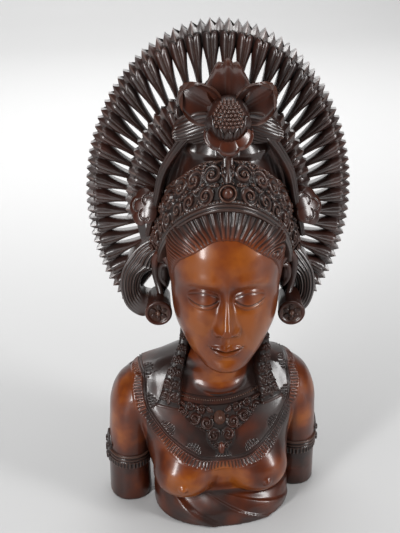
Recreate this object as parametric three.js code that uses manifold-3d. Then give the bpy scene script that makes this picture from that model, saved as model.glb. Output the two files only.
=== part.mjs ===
// A carved wooden bust of a dancer in a fan headdress, all of one block of rosewood.
// Millimetres, +Z up. The figure looks along -Y and X runs to the viewer's right.

import * as THREE from 'three';
import { mergeVertices } from 'three/addons/utils/BufferGeometryUtils.js';
import Module from 'manifold-3d';

const wasm = await Module();
wasm.setup();

// Driving dimensions. Depths are measured from the axis of the neck, and the whole
// figure is moved back at the end, so that its box is centred.
const HEIGHT = 400;
const NOSE_FRONT = -72;

const FAN_HALF_WIDTH = 101;
const FAN_HALF_HEIGHT = 137;
const FAN_CENTRE_Z = HEIGHT - FAN_HALF_HEIGHT;
const FAN_FOCUS_Z = 252;
const OUTER_END_ANGLE = -44;
const OUTER_SPOKES = 42;
const OUTER_SHARES = { hub: 0.6, root: 0.64, gap: 0.865, petal: 0.94, valley: 0.958, tip: 1 };
const OUTER_FRONT = 8;
const INNER_END_ANGLE = -7;
const INNER_SPOKES = 18;
const INNER_SHARES = { root: 0.34, gap: 0.56, petal: 0.655, valley: 0.67, tip: 0.7 };
const INNER_FRONT = -1;
const TIER_THICKNESS = 12;

// The head with its dress is turned a little to the viewer's left, about a line beside
// the axis of the neck. The fan stands off the middle of the head.
const HEAD_TURN = -8;
const HEAD_X = 4.2;
const FAN_X = -5;

const CHIN_Z = 146;
const HAIRLINE_Z = 259;
const FACE_HEIGHT = HAIRLINE_Z - CHIN_Z;
const BROW_Z = CHIN_Z + FACE_HEIGHT * 2 / 3;
const NOSE_BASE_Z = CHIN_Z + FACE_HEIGHT / 3;
const MOUTH_Z = CHIN_Z + FACE_HEIGHT * 0.225;
const EYE_Z = BROW_Z - 9;
const EYE_X = 16.5;

// The chest stands a little to the viewer's left of the base.
const CHEST_X = -3;
const NECKLACE_X = -5;
const ARM_X = 70.5;
const ARM_HALF_WIDTH = 17.5;
const BAND_Z = 40;
const BAND_HALF_HEIGHT = 5.5;

const BUD_CENTRE = new THREE.Vector3(0, -44, 342);
const BUD_RADII = new THREE.Vector3(15, 14, 16);

const point = (x, y, z) => new THREE.Vector3(x, y, z);
const radians = THREE.MathUtils.degToRad;
const clamp = THREE.MathUtils.clamp;
const SIDES = [-1, 1];

// Exponent of the superellipse that the body's level sections follow.
const BODY_SQUARENESS = 2.2;

// Smooth bump that is 1 at the centre and fades out by about two spreads.
const bump = (offset, spread) => Math.exp(-((offset / spread) ** 2));

// Value of one named size between the stops of a profile, on a smooth curve through them.
function sizeAt(stops, key, z) {
  let i = 0;
  while (i < stops.length - 2 && z > stops[i + 1].z) {
    i += 1;
  }
  const before = stops[Math.max(i - 1, 0)];
  const a = stops[i];
  const b = stops[i + 1];
  const after = stops[Math.min(i + 2, stops.length - 1)];
  const span = b.z - a.z;
  const t = clamp((z - a.z) / span, 0, 1);
  const slopeA = span * (b[key] - before[key]) / (b.z - before.z);
  const slopeB = span * (after[key] - a[key]) / (after.z - a.z);
  const t2 = t * t;
  const t3 = t2 * t;
  return (2 * t3 - 3 * t2 + 1) * a[key] + (t3 - 2 * t2 + t) * slopeA
    + (3 * t2 - 2 * t3) * b[key] + (t3 - t2) * slopeB;
}

// Closed body from triangles of points, with its faces turned outwards.
function bodyFrom(triangles) {
  const geometry = new THREE.BufferGeometry().setFromPoints(triangles.flat());
  return solid(geometry);
}

// Manifold body of any closed three.js geometry.
function solid(source) {
  const bare = source.index ? source.toNonIndexed() : source.clone();
  for (const name of Object.keys(bare.attributes)) {
    if (name !== 'position') {
      bare.deleteAttribute(name);
    }
  }
  const merged = mergeVertices(bare, 1e-4);
  const places = merged.attributes.position;
  const triVerts = [];
  let volume = 0;
  const [a, b, c] = [point(0, 0, 0), point(0, 0, 0), point(0, 0, 0)];
  for (let i = 0; i < merged.index.count; i += 3) {
    const corners = [0, 1, 2].map((k) => merged.index.getX(i + k));
    if (new Set(corners).size === 3) {
      a.fromBufferAttribute(places, corners[0]);
      b.fromBufferAttribute(places, corners[1]);
      c.fromBufferAttribute(places, corners[2]);
      volume += a.dot(b.cross(c));
      triVerts.push(...corners);
    }
  }
  if (volume < 0) {
    triVerts.reverse();
  }
  return new wasm.Manifold(new wasm.Mesh({
    numProp: 3,
    vertProperties: new Float32Array(places.array),
    triVerts: new Uint32Array(triVerts),
  }));
}

// Body through a row of rings of equal count, closed at both ends.
function loft(rings) {
  const triangles = [];
  const count = rings[0].length;
  for (let r = 0; r < rings.length - 1; r += 1) {
    for (let i = 0; i < count; i += 1) {
      const j = (i + 1) % count;
      triangles.push([rings[r][i], rings[r][j], rings[r + 1][j]]);
      triangles.push([rings[r][i], rings[r + 1][j], rings[r + 1][i]]);
    }
  }
  const last = rings[rings.length - 1];
  for (let i = 1; i < count - 1; i += 1) {
    triangles.push([rings[0][0], rings[0][i + 1], rings[0][i]]);
    triangles.push([last[0], last[i], last[i + 1]]);
  }
  return bodyFrom(triangles);
}

// Level ring round the body: an ellipse with separate depths in front and behind.
function levelRing(size, z, count, squareness = 2) {
  const ring = [];
  const centreX = size.x ?? 0;
  const middle = (size.front + size.back) / 2;
  const depth = (size.back - size.front) / 2;
  for (let i = 0; i < count; i += 1) {
    const angle = 2 * Math.PI * i / count;
    const c = Math.cos(angle);
    const s = Math.sin(angle);
    const x = Math.sign(c) * Math.abs(c) ** (2 / squareness);
    const y = Math.sign(s) * Math.abs(s) ** (2 / squareness);
    ring.push(point(centreX + size.half * x, middle + depth * y, z));
  }
  return ring;
}

const sizesAt = (stops, z) => ({
  x: sizeAt(stops, 'x', z),
  half: sizeAt(stops, 'half', z),
  front: sizeAt(stops, 'front', z),
  back: sizeAt(stops, 'back', z),
});

// Ring of a leaf or a blade: a flat back, two edges and one ridge line in front.
function leafRing(at, half, thickness) {
  const edge = Math.min(half, thickness * 0.6);
  return [
    at(-half * 0.8, -thickness),
    at(half * 0.8, -thickness),
    at(half, -edge),
    at(0, 0),
    at(-half, -edge),
  ];
}

// Ring of a thin raised line: two corners below and one in front.
const lineRing = (at, half, thickness) => [at(-half, -thickness), at(half, -thickness), at(0, 0)];

// Ridge carved along a smooth curve, with its half width given along it.
function ridgeAlong(curve, steps, out, halfWidthAt, thickness, ringOf = lineRing) {
  const rings = [];
  for (let i = 0; i <= steps; i += 1) {
    const t = i / steps;
    const centre = curve.getPoint(t);
    const outward = out(centre).normalize();
    const side = new THREE.Vector3().crossVectors(curve.getTangent(t), outward).normalize();
    const at = (across, height) => centre.clone()
      .addScaledVector(side, across)
      .addScaledVector(outward, height);
    rings.push(ringOf(at, halfWidthAt(t), thickness));
  }
  return loft(rings);
}

const forwards = () => point(0, -1, 0);

// Body from a flat net of triangles in the front view. Each place has its own depth in
// front and behind, and a wall closes each edge that only one triangle uses.
function slab(places, frontNet, backNet) {
  const triangles = [];
  const frontOf = (i) => point(places[i].x, places[i].front, places[i].z);
  const backOf = (i) => point(places[i].x, places[i].back, places[i].z);
  const turned = ([a, b, c]) => {
    const cross = (places[b].x - places[a].x) * (places[c].z - places[a].z)
      - (places[c].x - places[a].x) * (places[b].z - places[a].z);
    return cross > 0 ? [a, b, c] : [a, c, b];
  };
  const edges = new Map();
  for (const corners of frontNet.map(turned)) {
    triangles.push(corners.map(frontOf));
    for (let k = 0; k < 3; k += 1) {
      const from = corners[k];
      const to = corners[(k + 1) % 3];
      if (!edges.delete(`${to} ${from}`)) {
        edges.set(`${from} ${to}`, [from, to]);
      }
    }
  }
  for (const [a, b, c] of backNet.map(turned)) {
    triangles.push([backOf(a), backOf(c), backOf(b)]);
  }
  for (const [a, b] of edges.values()) {
    triangles.push([frontOf(a), backOf(a), backOf(b)]);
    triangles.push([frontOf(a), backOf(b), frontOf(b)]);
  }
  return bodyFrom(triangles);
}

// Prism with the given outline in the front view, between two depths.
function frontPrism(outline, front, back) {
  const geometry = new THREE.ExtrudeGeometry(outline, {
    depth: back - front,
    bevelEnabled: false,
    curveSegments: 5,
  });
  geometry.rotateX(Math.PI / 2);
  geometry.translate(0, back, 0);
  return solid(geometry);
}

function ball(centre, radii, across = 12, down = 8) {
  const geometry = new THREE.SphereGeometry(1, across, down);
  geometry.rotateX(Math.PI / 2);
  geometry.scale(radii.x, radii.y, radii.z);
  geometry.translate(centre.x, centre.y, centre.z);
  return solid(geometry);
}

const joined = (bodies) => wasm.Manifold.union(bodies);

// Torso from the cut base to the root of the neck.
const TORSO = [
  { z: 0, x: 1, half: 56, front: -57, back: 35 },
  { z: 12, x: 1, half: 56, front: -55, back: 35 },
  { z: 25, x: 0, half: 54, front: -44, back: 35 },
  { z: 40, x: CHEST_X * 0.3, half: 57, front: -46, back: 36 },
  { z: 62, x: CHEST_X * 0.6, half: 60, front: -47, back: 40 },
  { z: 85, x: CHEST_X, half: 68, front: -41, back: 44 },
  { z: 105, x: CHEST_X, half: 72, front: -30, back: 44 },
  { z: 117, x: CHEST_X, half: 64, front: -22, back: 40 },
  { z: 127, x: CHEST_X, half: 47, front: -20, back: 33 },
  { z: 139, x: CHEST_X, half: 27, front: -24, back: 22 },
];

// Upper arm from the cut end to the top of the shoulder, for the viewer's right side.
const ARM = [
  { z: 0, x: ARM_X, half: ARM_HALF_WIDTH, front: -12, back: 32 },
  { z: 45, x: ARM_X, half: ARM_HALF_WIDTH - 0.5, front: -13, back: 32 },
  { z: 75, x: ARM_X - 2, half: ARM_HALF_WIDTH, front: -17, back: 33 },
  { z: 93, x: ARM_X - 4, half: ARM_HALF_WIDTH + 0.5, front: -17, back: 33 },
  { z: 108, x: ARM_X - 9, half: ARM_HALF_WIDTH - 1, front: -12, back: 30 },
  { z: 118, x: ARM_X - 17, half: ARM_HALF_WIDTH - 6, front: -5, back: 23 },
];

const NECK = [
  { z: 100, x: CHEST_X, half: 26, front: -24, back: 22 },
  { z: 118, x: CHEST_X * 0.7, half: 22.5, front: -26, back: 18 },
  { z: 140, x: CHEST_X * 0.3, half: 22, front: -28, back: 17 },
  { z: 190, x: 0, half: 25, front: -30, back: 20 },
];

const BUST_CENTRE = { x: 29, y: -33, z: 45 };
const BUST_RADII = { x: 26, y: 25, z: 23 };

// Body of level rings between two heights of a profile.
function profileBody(stops, from, to, steps, count, grow = 0) {
  const rings = [];
  for (let i = 0; i <= steps; i += 1) {
    const z = from + (to - from) * i / steps;
    const size = sizesAt(stops, z);
    size.half += grow;
    size.front -= grow;
    size.back += grow;
    rings.push(levelRing(size, z, count, BODY_SQUARENESS));
  }
  return loft(rings);
}

// The arm's profile on one side of the chest.
const armOn = (side) => ARM.map((stop) => ({ ...stop, x: CHEST_X + side * stop.x }));

function torsoAndArms() {
  const bodies = [profileBody(TORSO, 0, TORSO.at(-1).z, 10, 18)];
  for (const side of SIDES) {
    bodies.push(profileBody(armOn(side), 0, ARM.at(-1).z, 6, 10));
    const centre = point(CHEST_X + side * BUST_CENTRE.x, BUST_CENTRE.y, BUST_CENTRE.z);
    bodies.push(ball(centre, BUST_RADII, 10, 6));
  }
  return joined(bodies);
}

// Front of a profile's body at a place in the front view.
function frontOf(stops, x, z) {
  const size = sizesAt(stops, z);
  const middle = (size.front + size.back) / 2;
  const depth = (size.back - size.front) / 2;
  const across = clamp(Math.abs(x - size.x) / size.half, 0, 1);
  return middle - depth * (1 - across ** BODY_SQUARENESS) ** (1 / BODY_SQUARENESS);
}

// Front of the chest with the bust, at a place across from the middle of the chest.
function chestFront(across, z) {
  let y = frontOf(TORSO, CHEST_X + across, z);
  const dx = (Math.abs(across) - BUST_CENTRE.x) / BUST_RADII.x;
  const dz = (z - BUST_CENTRE.z) / BUST_RADII.z;
  const rest = 1 - dx * dx - dz * dz;
  if (rest > 0) {
    y = Math.min(y, BUST_CENTRE.y - BUST_RADII.y * Math.sqrt(rest));
  }
  return y;
}

// Head without its features: chin, jaw, cheeks, temples and skull.
const HEAD = [
  { z: CHIN_Z, x: 0, half: 10, front: -53, back: -34 },
  { z: CHIN_Z + 5, x: 0, half: 20, front: -58.5, back: -20 },
  { z: CHIN_Z + 12, x: 0, half: 27.5, front: -60, back: -4 },
  { z: MOUTH_Z, x: 0, half: 34.5, front: -60, back: 8 },
  { z: NOSE_BASE_Z, x: 0, half: 39, front: -61, back: 18 },
  { z: 200, x: 0, half: 41, front: -61.5, back: 26 },
  { z: EYE_Z, x: 0, half: 41.5, front: -61.5, back: 32 },
  { z: BROW_Z + 6, x: 0, half: 42, front: -63, back: 36 },
  { z: 245, x: 0, half: 41.5, front: -61, back: 38 },
  { z: HAIRLINE_Z, x: 0, half: 39.5, front: -55, back: 38 },
  { z: 284, x: 0, half: 34, front: -45, back: 34 },
];

// Height of the face's features over the plain head, at a place in the front view.
function faceRelief(x, z) {
  const side = Math.abs(x);
  const noseTip = NOSE_BASE_Z + 5;
  const down = clamp((BROW_Z - z) / (BROW_Z - noseTip), 0, 1);
  const under = z < noseTip ? bump(noseTip - z, 4.5) : 1;
  const noseHalf = 3.2 + 4.2 * down ** 2;
  const nose = 11.5 * down ** 1.25 * under * bump(x, noseHalf);
  const wings = 3 * bump(side - 7, 3.2) * bump(z - NOSE_BASE_Z - 3, 4);
  const socket = -4 * bump(side - EYE_X, 9) * bump(z - EYE_Z - 1, 6.5);
  const eye = 4.2 * bump(side - EYE_X, 7) * bump(z - EYE_Z + 0.5, 4.2);
  const brow = 1.6 * bump(side - EYE_X, 12) * bump(z - BROW_Z - 1 + side * side * 0.006, 3.2);
  const lipHalf = 9;
  const upperLip = 3.4 * bump(x, lipHalf) * bump(z - MOUTH_Z - 2.6, 2.4);
  const lowerLip = 3.6 * bump(x, lipHalf * 0.8) * bump(z - MOUTH_Z + 3.2, 2.6);
  const chin = 2.2 * bump(x, 10) * bump(z - CHIN_Z - 9, 7);
  const cheek = 1.6 * bump(side - 22, 10) * bump(z - NOSE_BASE_Z - 8, 12);
  return nose + wings + socket + eye + brow + upperLip + lowerLip + chin + cheek;
}

function head(grow = 0, from = CHIN_Z, to = 266, steps = 17) {
  const rings = [];
  for (let i = 0; i <= steps; i += 1) {
    const z = from + (to - from) * i / steps;
    const size = sizesAt(HEAD, z);
    const ring = [];
    const count = 20;
    const middle = -18;
    for (let k = 0; k < count; k += 1) {
      const turn = 2 * k / count - 1;
      const angle = Math.PI * (turn * 0.72 + 0.28 * turn ** 3);
      const s = Math.sin(angle);
      const c = Math.cos(angle);
      const x = (size.half + grow) * Math.sign(s) * Math.abs(s) ** 0.9;
      const centre = clamp(middle, size.front + 10, size.back - 10);
      const reach = c > 0 ? size.front - grow - centre : size.back + grow - centre;
      let y = centre + Math.abs(c) ** 0.9 * reach;
      if (c > 0 && grow === 0) {
        y = Math.max(y - faceRelief(x, z) * Math.abs(c) ** 0.5, NOSE_FRONT);
      }
      ring.push(point(x, y, z));
    }
    rings.push(ring);
  }
  return loft(rings);
}

// Hair: a thicker skull with the face left open under an arched hairline.
function hair() {
  const face = new THREE.Shape();
  face.moveTo(-60, 150);
  face.lineTo(-43, 196);
  face.bezierCurveTo(-42, 232, -28, HAIRLINE_Z - 12, 0, HAIRLINE_Z);
  face.bezierCurveTo(28, HAIRLINE_Z - 12, 42, 232, 43, 196);
  face.lineTo(60, 150);
  const shell = head(4.5, 190, 284, 6);
  const combed = profileBody(COMBED_HAIR, 148, 312, 8, 14);
  return shell.subtract(frontPrism(face, -90, -4)).add(combed);
}

// Hair combed back in one smooth mass, from the nape to the top of the skull.
const COMBED_HAIR = [
  { z: 148, x: 0, half: 15, front: -4, back: 19 },
  { z: 168, x: 0, half: 27, front: -4, back: 29 },
  { z: 195, x: 0, half: 38, front: -4, back: 39 },
  { z: 235, x: 0, half: 43, front: -4, back: 44 },
  { z: 275, x: 0, half: 38, front: -4, back: 41 },
  { z: 300, x: 0, half: 26, front: -4, back: 32 },
  { z: 312, x: 0, half: 12, front: -4, back: 22 },
];

function ears() {
  const bodies = [];
  for (const side of SIDES) {
    const lobe = new THREE.CatmullRomCurve3([
      point(side * 41, -12, 214),
      point(side * 46, -6, 222),
      point(side * 49, -3, 210),
      point(side * 46, -6, 196),
      point(side * 43, -12, 188),
    ]);
    bodies.push(ridgeAlong(lobe, 4, () => point(side * 0.5, -1, 0), () => 5, 12, leafRing));
  }
  return joined(bodies);
}

// Places at even spacing along the rim of the fan, from the viewer's right to the left.
function rimPlaces(endAngle, spokes) {
  const curve = new THREE.EllipseCurve(
    0,
    FAN_CENTRE_Z,
    FAN_HALF_WIDTH,
    FAN_HALF_HEIGHT,
    radians(endAngle),
    radians(180 - endAngle),
  );
  return curve.getSpacedPoints(2 * spokes);
}

// Place in the fan at a share of the way from the focus to the rim.
const inFan = (rim, share, y) => point(
  rim.x * share,
  y,
  FAN_FOCUS_Z + (rim.y - FAN_FOCUS_Z) * share,
);

// One tier of the fan as a net of equal cells. Each cell holds a spoke with a ridge along
// it, and the part of the toothed rim that the spoke grows into.
function tier(rims, shares, front) {
  const places = [];
  const frontNet = [];
  const backNet = [];
  const add = (rim, share, depth, across = 0) => {
    const place = inFan(rim, share, front + depth);
    const along = point(rim.x, 0, rim.y - FAN_FOCUS_Z).normalize();
    places.push({
      x: place.x + across * along.z,
      z: place.z - across * along.x,
      front: place.y,
      back: front + TIER_THICKNESS,
    });
    return places.length - 1;
  };
  const gapSide = (rim) => ({
    rim,
    hub: shares.hub ? add(rim, shares.hub, 1.5) : null,
    joint: shares.hub ? add(rim, shares.root, 1.5) : null,
    gap: add(rim, shares.gap, 6),
    tooth: add(rim, shares.tip, 8),
  });
  let before = gapSide(rims[0]);
  for (let i = 1; i < rims.length; i += 2) {
    const rim = rims[i];
    const after = gapSide(rims[i + 1]);
    const rootHalf = before.rim.distanceTo(after.rim) * 0.13;
    const ridge = add(rim, shares.gap, 0);
    const tooth = add(rim, shares.tip, 8);
    const roots = [rootHalf, -rootHalf].map((across) => add(rim, shares.root, 4.5, across));
    frontNet.push([roots[0], roots[1], ridge]);
    backNet.push([roots[0], roots[1], tooth]);
    [before, after].forEach((side, k) => {
      const quarter = rim.clone().add(side.rim).multiplyScalar(0.5);
      const petal = add(quarter, shares.petal, 1.5);
      const valley = add(quarter, shares.valley, 7);
      frontNet.push(
        [roots[k], ridge, side.gap],
        [side.gap, ridge, petal],
        [ridge, tooth, petal],
        [petal, tooth, valley],
        [side.gap, petal, valley],
        [side.gap, valley, side.tooth],
      );
      backNet.push(
        [roots[k], tooth, valley],
        [roots[k], valley, side.gap],
        [side.gap, valley, side.tooth],
      );
    });
    if (shares.hub) {
      const hubNet = [
        [before.hub, before.joint, roots[0]],
        [before.hub, roots[0], roots[1]],
        [before.hub, roots[1], after.hub],
        [after.hub, roots[1], after.joint],
      ];
      frontNet.push(...hubNet);
      backNet.push(...hubNet);
    }
    before = after;
  }
  return slab(places, frontNet, backNet);
}

// Outer and inner tier of the fan. Light shows between the spokes of both.
function fan() {
  const outer = tier(rimPlaces(OUTER_END_ANGLE, OUTER_SPOKES), OUTER_SHARES, OUTER_FRONT);
  const inner = tier(rimPlaces(INNER_END_ANGLE, INNER_SPOKES), INNER_SHARES, INNER_FRONT);
  return joined([outer, inner]);
}

// Wings of carved leaf beside the ears, fluted along their length, with a hole by the ear.
const WING_FRONT = 2;
const WING_BACK = 18;

function earWings() {
  const bodies = [];
  for (const side of SIDES) {
    const wing = new THREE.Shape();
    wing.moveTo(side * 36, 238);
    wing.lineTo(side * 57, 228);
    wing.quadraticCurveTo(side * 72, 216, side * 77, 198);
    wing.quadraticCurveTo(side * 80, 181, side * 68, 168);
    wing.quadraticCurveTo(side * 60, 160, side * 51, 170);
    wing.lineTo(side * 38, 178);
    const hole = new THREE.Shape();
    hole.moveTo(side * 48, 205);
    hole.quadraticCurveTo(side * 59, 203, side * 61, 191);
    hole.quadraticCurveTo(side * 60, 180, side * 52, 181);
    hole.quadraticCurveTo(side * 47, 191, side * 48, 205);
    const wingBody = frontPrism(wing, WING_FRONT, WING_BACK);
    bodies.push(wingBody.subtract(frontPrism(hole, WING_FRONT - 10, WING_BACK + 10)));
    for (const reach of [0, 1.6]) {
      const flute = new THREE.CatmullRomCurve3([
        point(side * (46 + 3 * reach), WING_FRONT, 223 + 3 * reach),
        point(side * (57 + 3 * reach), WING_FRONT - 2, 211 + 3 * reach),
        point(side * (64 + 3.5 * reach), WING_FRONT - 2, 194 + reach),
        point(side * (60 + 3.5 * reach), WING_FRONT, 172 - reach),
      ]);
      bodies.push(ridgeAlong(flute, 4, forwards, () => 3, 4));
    }
  }
  return joined(bodies);
}

// Drum-shaped ear plugs with a boss on the front face.
const PLUG = { x: 51, y: -27, z: 183, radius: 10.5, length: 30 };

function earPlugs() {
  const bodies = [];
  for (const side of SIDES) {
    const drum = new THREE.CylinderGeometry(PLUG.radius * 0.8, PLUG.radius, PLUG.length, 12);
    drum.translate(side * PLUG.x, PLUG.y + PLUG.length / 2, PLUG.z);
    bodies.push(solid(drum));
    bodies.push(boss(side * PLUG.x, PLUG.y, PLUG.z, PLUG.radius * 0.7));
  }
  return joined(bodies);
}

// Body of the crown that rises from the head to the flower, in front of the fan.
const CROWN = [
  { z: 222, x: 0, half: 49, front: -2, back: 22 },
  { z: 245, x: 0, half: 50, front: -12, back: 24 },
  { z: 264, x: 0, half: 49, front: -28, back: 28 },
  { z: 277, x: 0, half: 47, front: -42, back: 30 },
  { z: 288, x: 0, half: 44, front: -56, back: 30 },
  { z: 298, x: 0, half: 41, front: -55, back: 29 },
  { z: 308, x: 0, half: 38, front: -50, back: 27 },
  { z: 326, x: 0, half: 31, front: -42, back: 22 },
  { z: 346, x: 0, half: 22, front: -33, back: 18 },
  { z: 366, x: 0, half: 10, front: -16, back: 14 },
];

// Arched band across the hair, from the temples up over the forehead.
const HAIR_BAND = { halfWidth: 50, rootY: 1, reach: 57, rootZ: 211.5, rise: 73.5, endAngle: 72 };

function hairBand() {
  const places = [];
  const steps = 8;
  for (let i = 0; i <= steps; i += 1) {
    const angle = radians(HAIR_BAND.endAngle * (2 * i / steps - 1));
    places.push(point(
      HAIR_BAND.halfWidth * Math.sin(angle),
      HAIR_BAND.rootY - HAIR_BAND.reach * Math.cos(angle),
      HAIR_BAND.rootZ + HAIR_BAND.rise * Math.cos(angle),
    ));
  }
  const path = new THREE.CatmullRomCurve3(places);
  const outward = (p) => point(p.x * 0.6, p.y, (p.z - HAIR_BAND.rootZ) * 0.4);
  return ridgeAlong(path, 10, outward, () => 3.4, 7, leafRing);
}

// Low round boss of carved foliage.
const boss = (x, y, z, radius) => ball(point(x, y, z), point(radius, radius * 0.55, radius), 6, 4);

function crown() {
  const bodies = [profileBody(CROWN, CROWN[0].z, CROWN.at(-1).z, 9, 14), hairBand()];
  const gem = { z: 297, radius: 7 };
  bodies.push(ball(point(0, frontOf(CROWN, 0, gem.z), gem.z), point(gem.radius, 5, gem.radius), 8, 4));
  for (const side of SIDES) {
    const foliage = [
      { x: 18, z: 298, radius: 8.5 },
      { x: 34, z: 288, radius: 8 },
      { x: 10, z: 316, radius: 6 },
      { x: 46, z: 238, radius: 8 },
    ];
    for (const { x, z, radius } of foliage) {
      bodies.push(boss(side * x, frontOf(CROWN, x, z), z, radius));
    }
    bodies.push(...sideLeaves(side));
    bodies.push(blade(side));
  }
  return joined(bodies);
}

// Long curved blade from under the flower down the side of the crown.
function blade(side) {
  const path = new THREE.CatmullRomCurve3([
    point(side * 17, -40, 329),
    point(side * 32, -34, 321),
    point(side * 43, -26, 302),
    point(side * 48, -18, 278),
    point(side * 52, -12, 256),
    point(side * 57, -8, 240),
  ]);
  const outward = () => point(side * 0.75, -1, 0.1);
  return ridgeAlong(path, 7, outward, (t) => 6 - 4.5 * t, 16, leafRing);
}

// Cluster of three leaves that stands out beside the crown.
function sideLeaves(side) {
  const bodies = [];
  const leaves = [
    { lean: 62, length: 21, half: 5.5 },
    { lean: 88, length: 22, half: 6.5 },
    { lean: 116, length: 18, half: 5.5 },
  ];
  for (const leaf of leaves) {
    const along = point(side * Math.sin(radians(leaf.lean)), 0, Math.cos(radians(leaf.lean)));
    const root = point(side * 42, 2, 252);
    const tip = root.clone().addScaledVector(along, leaf.length);
    const line = new THREE.LineCurve3(root, tip);
    const halfAt = (t) => leaf.half * Math.sin(Math.PI * (0.2 + 0.75 * t));
    bodies.push(ridgeAlong(line, 2, forwards, halfAt, 10, leafRing));
  }
  return bodies;
}

// One petal: a cupped plate that grows from the bud, widens and rolls over at its tip.
function petal({ lean, length, halfWidth, cup, roll, rootY, rows, columns }) {
  const along = point(Math.sin(lean), 0, Math.cos(lean));
  const side = point(Math.cos(lean), 0, -Math.sin(lean));
  const skin = (depth) => {
    const grid = [];
    for (let i = 0; i <= rows; i += 1) {
      const t = i / rows;
      const half = halfWidth * Math.sin(Math.PI * (0.14 + 0.72 * t)) ** 0.7;
      const row = [];
      for (let k = 0; k <= columns; k += 1) {
        const u = 2 * k / columns - 1;
        const back = BUD_CENTRE.y + rootY - cup * u * u + roll * t ** 3 + depth;
        row.push(point(0, back, BUD_CENTRE.z)
          .addScaledVector(along, length * (0.25 + 0.75 * t) - halfWidth * 0.4 * t * u * u)
          .addScaledVector(side, half * u));
      }
      grid.push(row);
    }
    return grid;
  };
  const rear = skin(4);
  return loft(skin(0).map((row, i) => row.concat(rear[i].slice().reverse())));
}

function flower() {
  const bodies = [ball(BUD_CENTRE, BUD_RADII, 10, 6)];
  const large = { rows: 3, columns: 3 };
  const small = { rows: 2, columns: 2 };
  bodies.push(petal({ lean: 0, length: 40, halfWidth: 14, cup: 2, roll: 12, rootY: 6, ...large }));
  for (const side of SIDES) {
    const upper = { lean: radians(57), length: 39, halfWidth: 13, cup: 6, roll: 5, rootY: 8 };
    const lower = { lean: radians(101), length: 40, halfWidth: 12.5, cup: 5, roll: 9, rootY: 6 };
    const cupLobe = { lean: radians(146), length: 25, halfWidth: 8, cup: 3, roll: -2, rootY: 4 };
    bodies.push(petal({ ...upper, lean: side * upper.lean, ...large }));
    bodies.push(petal({ ...lower, lean: side * lower.lean, ...large }));
    bodies.push(petal({ ...cupLobe, lean: side * cupLobe.lean, ...small }));
  }
  bodies.push(petal({ lean: Math.PI, length: 27, halfWidth: 8.5, cup: 3, roll: -4, rootY: 4, ...small }));
  return joined(bodies);
}

// Lower edge of the cape, a raised line over the chest and up to the top of each shoulder.
const CAPE_CORNERS = [[0, 61], [19, 65.5], [38, 76], [54, 94], [59, 113]];

function capeEdge() {
  const lift = 2;
  const places = [];
  for (const [across, z] of CAPE_CORNERS) {
    for (const side of across === 0 ? [1] : SIDES) {
      places.push(point(CHEST_X + side * across, chestFront(across, z) - lift, z));
    }
  }
  places.sort((a, b) => a.x - b.x);
  const outward = (p) => point((p.x - CHEST_X) * 0.008, -1, (p.z - CAPE_CORNERS[0][1]) * 0.012);
  return ridgeAlong(new THREE.CatmullRomCurve3(places), 16, outward, () => 2, 4.5);
}

// Plate that lies on the chest between two outlines, each a height for a place across.
function chestPlate(halfWidth, topAt, bottomAt, columns, lift) {
  const places = [];
  const net = [];
  const rows = 2;
  for (let i = 0; i <= columns; i += 1) {
    const x = halfWidth * (2 * i / columns - 1);
    for (let k = 0; k <= rows; k += 1) {
      const z = bottomAt(x) + (topAt(x) - bottomAt(x)) * k / rows;
      const surface = chestFront(x, z);
      const edge = k === 1 ? 1 : 0.4;
      places.push({ x: NECKLACE_X + x, z, front: surface - lift * edge, back: surface + 4 });
      if (i > 0 && k > 0) {
        const here = places.length - 1;
        const below = here - 1;
        const before = here - rows - 1;
        net.push([below, before, before - 1], [below, here, before]);
      }
    }
  }
  return slab(places, net, net);
}

// Collar ring, crescent of foliage, gem and heart-shaped pendant on the chest.
const CRESCENT = { halfWidth: 36, topZ: 104, topRise: 6, bottomZ: 82, bottomRise: 22, lift: 4 };
const CRESCENT_BOSSES = [{ across: 16, z: 92, radius: 6.5 }, { across: 28, z: 99, radius: 5.5 }];
const HEART = { halfWidth: 12, topZ: 86, topRise: 4, bottomZ: 67, bottomBend: 0.08, lift: 6.5 };
const CHEST_GEM = { z: 95, radius: 5.5 };
const NECK_RING = { radius: 24.5, thickness: 3, slope: 13, y: -2.5, z: 116 };

function necklace() {
  const crescentTop = (x) => CRESCENT.topZ + CRESCENT.topRise * (x / CRESCENT.halfWidth) ** 2;
  const crescentBottom = (x) => CRESCENT.bottomZ + CRESCENT.bottomRise * (x / CRESCENT.halfWidth) ** 2;
  const heartTop = (x) => HEART.topZ + HEART.topRise * Math.sin(Math.PI * Math.abs(x) / HEART.halfWidth);
  const heartBottom = (x) => HEART.bottomZ + HEART.bottomBend * x * x;
  const bodies = [
    chestPlate(CRESCENT.halfWidth, crescentTop, crescentBottom, 10, CRESCENT.lift),
    chestPlate(HEART.halfWidth, heartTop, heartBottom, 6, HEART.lift),
  ];
  const neckRing = new THREE.TorusGeometry(NECK_RING.radius, NECK_RING.thickness, 4, 14);
  neckRing.rotateX(radians(NECK_RING.slope));
  neckRing.translate(CHEST_X * 0.7, NECK_RING.y, NECK_RING.z);
  bodies.push(solid(neckRing));
  const gemPlace = point(NECKLACE_X, chestFront(0, CHEST_GEM.z) - 3, CHEST_GEM.z);
  bodies.push(ball(gemPlace, point(CHEST_GEM.radius, 4, CHEST_GEM.radius), 8, 4));
  for (const side of SIDES) {
    for (const { across, z, radius } of CRESCENT_BOSSES) {
      bodies.push(boss(NECKLACE_X + side * across, chestFront(across, z) - 2.5, z, radius));
    }
  }
  return joined(bodies);
}

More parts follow.
